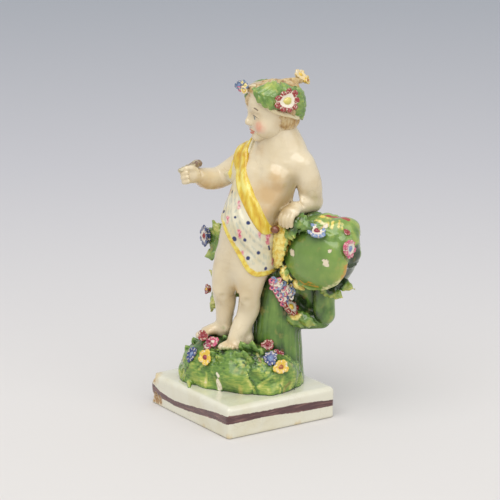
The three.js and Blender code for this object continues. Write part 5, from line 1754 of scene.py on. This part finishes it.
RED, CRIMSON, PINK = colour(146, 40, 36), colour(142, 34, 52), colour(206, 88, 122)
BLUE, PALE_BLUE, WHITE = colour(48, 64, 118), colour(122, 144, 182), colour(232, 222, 202)
YELLOW, ORANGE, GREENISH = colour(226, 188, 62), colour(170, 98, 44), colour(212, 198, 104)
SLATE, CREAM = colour(92, 110, 138), colour(228, 204, 148)
SPRIGS = {
    # on each part: centre, the way it shows, radius, petals, then petal, ring and heart paint
    "wreath_flowers": [
        (round_head(98.5, 12.6, 6.4), head_way(1, 0.04, 0.12), 5.5, 9, RED, WHITE, GREENISH),
        (round_head(-11, 13.8, 11.9), head_way(0.5, -1, 0.4), 2.3, 5, SLATE, SLATE, PALE_BLUE),
        (round_head(-1, 11.9, 12.0), head_way(0.7, -0.7, 0.4), 1.9, 5, SLATE, CREAM, GREENISH),
        (round_head(-8, 13.6, 10.5), head_way(0.6, -1, -0.2), 1.5, 5, PINK, PINK, WHITE),
        (round_head(0, 12.4, 10.1), head_way(0.7, -0.8, 0), 1.8, 5, CREAM, YELLOW, CREAM),
        (round_head(-5, 12.8, 13.0), head_way(0.5, -0.6, 0.8), 1.4, 5, SLATE, CREAM, GREENISH),
        (on_head(-1.6, 13.0, 14.2), head_way(0.67, 0.4, 0.5), 2.9, 5, CREAM, CREAM, YELLOW),
        (on_head(-0.6, 15.6, 11.9), head_way(0.6, 0.8, 0.2), 2.2, 5, YELLOW, YELLOW, ORANGE),
        (round_head(-92, 12.4, 6.0), head_way(-1, 0, 0.1), 4.6, 6, PINK, WHITE, YELLOW),
        (round_head(208, 13.0, 5.0), head_way(-0.47, 0.88, 0), 4.0, 6, BLUE, WHITE, YELLOW),
    ],
    "horn_flowers": [
        ((38.0, 2.5, 85.8), (0.35, -0.46, 0.81), 4.2, 6, PALE_BLUE, WHITE, CRIMSON),
        ((51.1, 7.4, 79.5), (0.99, 0.12, 0.0), 4.6, 8, PINK, WHITE, PALE_BLUE),
        ((48.6, 9.4, 85.6), (0.7, -0.35, 0.6), 1.7, 5, RED, RED, RED),
    ],
    "spray_flowers": [
        ((-23.4, 4.8, 74.6), (-0.58, -0.81, 0), 5.3, 9, BLUE, WHITE, RED),
        ((-22.4, 4.8, 50.3), (-0.6, -0.8, 0.1), 2.6, 6, RED, CRIMSON, YELLOW),
        ((4, 19.8, 62), (-0.2, 1, 0.2), 4.2, 6, PINK, WHITE, YELLOW),
    ],
    "mound_flowers": [
        ((-9.9, -14.4, 35.4), (0.0, -0.9, 0.5), 2.7, 5, RED, RED, CRIMSON),
        ((-7.1, -11.4, 32.2), (0.1, -0.8, 0.8), 3.0, 5, PINK, PINK, WHITE),
        ((-8.4, -12.8, 30.6), (-0.1, -0.9, 0.6), 2.6, 5, CRIMSON, WHITE, PINK),
        ((-14.3, -16.6, 26.6), (-0.3, -0.9, 0.5), 3.5, 8, BLUE, BLUE, PALE_BLUE),
        ((-5.9, -18.0, 27.2), (0.1, -1, 0.5), 3.5, 5, YELLOW, YELLOW, CRIMSON),
        ((14.4, -0.1, 32.2), (0.4, -0.8, 0.5), 2.8, 5, RED, RED, CRIMSON),
        ((18.9, 1.2, 28.2), (0.7, -0.6, 0.4), 2.7, 5, CRIMSON, RED, RED),
        ((20.5, -6.4, 28.6), (0.4, -0.6, 0.7), 3.5, 8, BLUE, BLUE, PALE_BLUE),
        ((25.3, -5.6, 25.6), (0.8, -0.6, 0.4), 3.4, 5, YELLOW, YELLOW, ORANGE),
    ],
}
GARLAND_ROWS = [
    # height, from and to across the photograph's view, how many florets: they hang from the horn's mouth
    (61.6, 12.2, 16.6, 3), (59.9, 12.3, 19.0, 4), (58.2, 12.7, 22.0, 6), (56.5, 13.8, 23.0, 6),
    (54.8, 14.8, 23.2, 5), (53.1, 15.8, 22.2, 4), (51.4, 17.0, 20.0, 2),
]
GARLAND_MIDDLE, GARLAND_BEND = 15.4, 11.9  # the florets follow the stump's round front
FLORET_PAINTS = [WHITE, PALE_BLUE, WHITE, BLUE, PINK, PALE_BLUE, WHITE]
garland = []
for height, start, end, count in GARLAND_ROWS:
    for n in range(count):
        across = start + (end - start) * (n + 0.5) / count + seed.uniform(-0.4, 0.4)
        forward = math.sqrt(GARLAND_BEND**2 - (across - GARLAND_MIDDLE) ** 2) - 2.8
        x, y = VIEW_X * across + VIEW_Y * forward, VIEW_Y * across - VIEW_X * forward
        centre = (x, y, height + seed.uniform(-0.5, 0.5))
        petal = FLORET_PAINTS[(n * 3 + int(height)) % len(FLORET_PAINTS)] if n else PINK
        ring = WHITE if seed.random() < 0.4 else petal
        shows = (0.5 + seed.uniform(-0.4, 0.4), -1, 0.2 + seed.uniform(-0.3, 0.3))
        garland.append((centre, shows, seed.uniform(1.3, 1.8), 5, petal, ring, [BLUE, PINK, YELLOW][n % 3]))
garland.append(((20.9, 7.1, 48.8), (0.85, 0.1, 0.5), 4.6, 8, RED, WHITE, YELLOW))
SPRIGS["garland"] = garland

material, paint, shader = glazed("painted_petals", 0.2)
where = paint.millimetres()
wander = paint.times(paint.sum(paint.noise(where, 0.8, 2.0), -0.5), 0.22)
reach = paint.sum(paint.brushed("from_heart"), wander)
flecks = paint.rise(paint.noise(where, 1.2, 3.0), 0.54, 0.62)
gaps = paint.sum(paint.brushed("from_petal_edge"), paint.times(paint.noise(where, 1.0, 2.0), -0.5))
gaps = paint.rise(gaps, 0.05, -0.12)
flecks = paint.times(paint.sum(flecks, gaps), 0.7)
petal_paint = paint.mix(flecks, paint.brushed("petal_paint", 0), colour(228, 214, 190))
dab = paint.mix(paint.rise(reach, 0.52, 0.6), paint.brushed("ring_paint", 0), petal_paint)
dab = paint.mix(paint.rise(reach, 0.28, 0.36), paint.brushed("heart_paint", 0), dab)
dab = paint.mix(paint.rise(reach, 1.0, 1.12), dab, colour(168, 172, 110))
# darker in the hollows, for pooled glaze and painted shade
dab = paint.pooled_and_shaded(0.5, 1.4, 0.3, dab, colour(96, 80, 50))
dipped(paint, shader, dab, 0.4)
for name, sprigs_here in SPRIGS.items():
    centres = np.array([s[0] for s in sprigs_here], float)
    clay = Clay(centres.min(0) - 7, centres.max(0) + 7, 0.32)
    forms = []
    for centre, shows, radius, petals, *_ in sprigs_here:
        spin = seed.uniform(0, 1)
        form = flower(centre, shows, radius, petals, thick=0.8 + 0.15 * radius, spin=spin)
        clay.add(form, 0.1)
        forms.append((form[0][2], spin))
    points, faces = clay.skin(0)
    nearest = np.argmin([f[0](*points.T) for f in forms], axis=0)
    from_heart, from_edge = np.zeros(len(points)), np.zeros(len(points))
    for n, (centre, shows, radius, petals, *_) in enumerate(sprigs_here):
        here = nearest == n
        reach, _, folded = petal_place(points[here].T, centre, shows, petals, forms[n][1])
        from_heart[here] = reach / radius
        from_edge[here] = reach * np.sin(math.pi / petals - np.abs(folded)) * max(1, 3.4 / radius)
    painted = {"from_heart": from_heart, "from_petal_edge": from_edge}
    for label, column in (("petal_paint", 4), ("ring_paint", 5), ("heart_paint", 6)):
        painted[label] = np.array([s[column][:3] for s in sprigs_here])[nearest]
    blooms = piece(name, points, faces, material, painted)
    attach(blooms, "root")
    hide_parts("pearlware_figure")


# The glaze at the end: the ware was dipped and fired once more, and the coloured glaze ran off the high
# places into the hollows, where it lies thick and dark. The same measure also paints shade into the
# hollows and between the parts. Each piece learns how deep in a hollow it lies.

POOL_CELL = 0.8
POOL_SPREAD = 1.9  # how far round a place its hollow is judged
POOL_LIFT = 0.7  # how far off the skin
FLAT_SHARE = 0.36  # how much of the space round a flat place is clay
pool_low, pool_high = np.array([-34.0, -36.0, -3.0]), np.array([52.0, 46.0, 156.0])
counts = (pool_high - pool_low) // POOL_CELL
packed = np.zeros(counts.astype(int), np.float32)
heights = [pool_low[i] + POOL_CELL * (np.arange(packed.shape[i]) + 0.5) for i in range(3)]
x, y, z = heights[0][:, None, None], heights[1][None, :, None], heights[2][None, None, :]
packed[slab_gap(x, y, z) < 0] = 1
for points, volume in lumps_of_clay:
    bins = np.floor((turned(points) - pool_low) / POOL_CELL).astype(int)
    bins = bins[np.all((bins >= 0) & (bins < packed.shape), axis=1)]
    np.add.at(packed, tuple(bins.T), volume / POOL_CELL**3)
packed = np.clip(packed, 0, 1)
shifts = np.arange(-5, 6)
bell = np.exp(-((shifts * POOL_CELL / POOL_SPREAD) ** 2) / 2)
bell = bell / bell.sum()
for axis in range(3):
    packed = sum(share * np.roll(packed, shift, axis) for share, shift in zip(bell, shifts))
for made in finished:
    corners, facing = (np.zeros(len(made.data.vertices) * 3, np.float32) for _ in range(2))
    made.data.vertices.foreach_get("co", corners)
    made.data.vertices.foreach_get("normal", facing)
    place = corners.reshape(-1, 3) * 1000 + facing.reshape(-1, 3) * POOL_LIFT
    grid = np.clip((place - pool_low) / POOL_CELL - 0.5, 0, np.array(packed.shape) - 2)
    first = grid.astype(int)
    share = grid - first
    clay_near = np.zeros(len(grid))
    for corner in np.ndindex(2, 2, 2):
        weight = np.prod(np.where(corner, share, 1 - share), axis=1)
        clay_near += weight * packed[tuple((first + corner).T)]
    pooled_glaze_and_shade = np.clip((clay_near - FLAT_SHARE) / 0.3, -1, 1.4)
    label = made.data.attributes.new("pooled_glaze_and_shade", "FLOAT", "POINT")
    label.data.foreach_set("value", pooled_glaze_and_shade.astype(np.float32))


# The table: a wide sheet of pale paper under a large round soft light from the upper left, a weaker one
# from the right and an even light from all round. The camera stands where the photograph's did.

AZIMUTH, ELEVATION = 56.127, 14.07  # degrees round from the plinth's front, and up
CAMERA_AWAY, CAMERA_RIGHT, CAMERA_UP = 0.960, 0.003623, 0.070411  # metres from the plinth's underside
FOCAL_LENGTH, PICTURE_WIDTH = 2173.691, 500  # both in pixels of the photograph
SENSOR_WIDTH = 36


def way_out(azimuth, elevation):
    """The way from the object to a place round it, from degrees round from its front and up."""
    round_it, up_it = math.radians(azimuth), math.radians(elevation)
    level = math.cos(up_it)
    return Vector((math.sin(round_it) * level, -math.cos(round_it) * level, math.sin(up_it)))


def looking_back(thing, way):
    """Turns a camera or a lamp that stands out along a way, so that it looks back at the object."""
    thing.rotation_mode = "QUATERNION"
    thing.rotation_quaternion = (-way).to_track_quat("-Z", "Y")
    bpy.context.scene.collection.objects.link(thing)


away = way_out(AZIMUTH, ELEVATION)
right = way_out(AZIMUTH + 90, 0)
up = away.cross(right)
camera = bpy.data.objects.new("camera", bpy.data.cameras.new("camera"))
camera.location = away * CAMERA_AWAY + right * CAMERA_RIGHT + up * CAMERA_UP
camera.data.sensor_width = SENSOR_WIDTH
camera.data.lens = FOCAL_LENGTH * SENSOR_WIDTH / PICTURE_WIDTH
camera.data.clip_start, camera.data.clip_end = 0.05, 30
looking_back(camera, away)
bpy.context.scene.camera = camera

PAPER_SIDE = 6.0
corners = [(x * PAPER_SIDE, y * PAPER_SIDE, 0) for x, y in ((-1, -1), (1, -1), (1, 1), (-1, 1))]
floor_mesh = bpy.data.meshes.new("paper_sweep")
floor_mesh.from_pydata(corners, [], [(0, 1, 2, 3)])
material = bpy.data.materials.new("pale_paper")
material.use_nodes = True
shader = material.node_tree.nodes["Principled BSDF"]
paint = Paint(material.node_tree)
shader.inputs["Roughness"].default_value = 0.9
shader.inputs["Specular IOR Level"].default_value = 0.1
# how far a point of the paper lies from the object towards the camera, in metres
where = paint.place("TexCoord", out=3)
toward = paint.place("VectorMath", where, way_out(AZIMUTH, 0), out=1, operation="DOT_PRODUCT")
share = paint.rise(toward, -1.6, 0.2)
share.node.interpolation_type = "LINEAR"
# painted shade: the paper grows darker and a little bluer away from the camera, where less light reaches it
PAPER_FALLOFF_SHADE = [(0.0, (194, 197, 203)), (0.6, (211, 209, 212)), (0.86, (222, 218, 215)), (1.0, (218, 214, 210))]
paint.join(paint.ramp(share, PAPER_FALLOFF_SHADE), shader.inputs["Base Color"])
floor_mesh.materials.append(material)
floor = bpy.data.objects.new("paper_sweep", floor_mesh)
bpy.context.scene.collection.objects.link(floor)

ROUND_TINT = (0.93, 0.96, 1.0, 1.0)  # the even light from all round is a little cool
ROUND_STRENGTH = 0.68
world = bpy.data.worlds.new("studio")
bpy.context.scene.world = world
world.use_nodes = True
world.node_tree.nodes["Background"].inputs["Color"].default_value = ROUND_TINT
world.node_tree.nodes["Background"].inputs["Strength"].default_value = ROUND_STRENGTH


def soft_light(name, azimuth, elevation, distance, width, power, tint):
    """A round soft light that looks at the middle of the object, 80 mm above the table."""
    light = bpy.data.lights.new(name, "AREA")
    light.shape, light.size, light.size_y = "ELLIPSE", width, width
    light.energy, light.color = power, tint
    lamp = bpy.data.objects.new(name, light)
    way = way_out(azimuth, elevation)
    lamp.location = way * distance + Vector((0, 0, 0.08))
    looking_back(lamp, way)


soft_light(
    "key_light", azimuth=34, elevation=58, distance=1.1, width=1.15, power=7.7, tint=(1.0, 0.985, 0.96)
)
soft_light(
    "fill_light", azimuth=105, elevation=30, distance=1.2, width=1.0, power=2.7, tint=(1.0, 0.98, 0.95)
)
bpy.context.scene.view_settings.view_transform = "Standard"
bpy.context.scene.view_settings.look = "None"
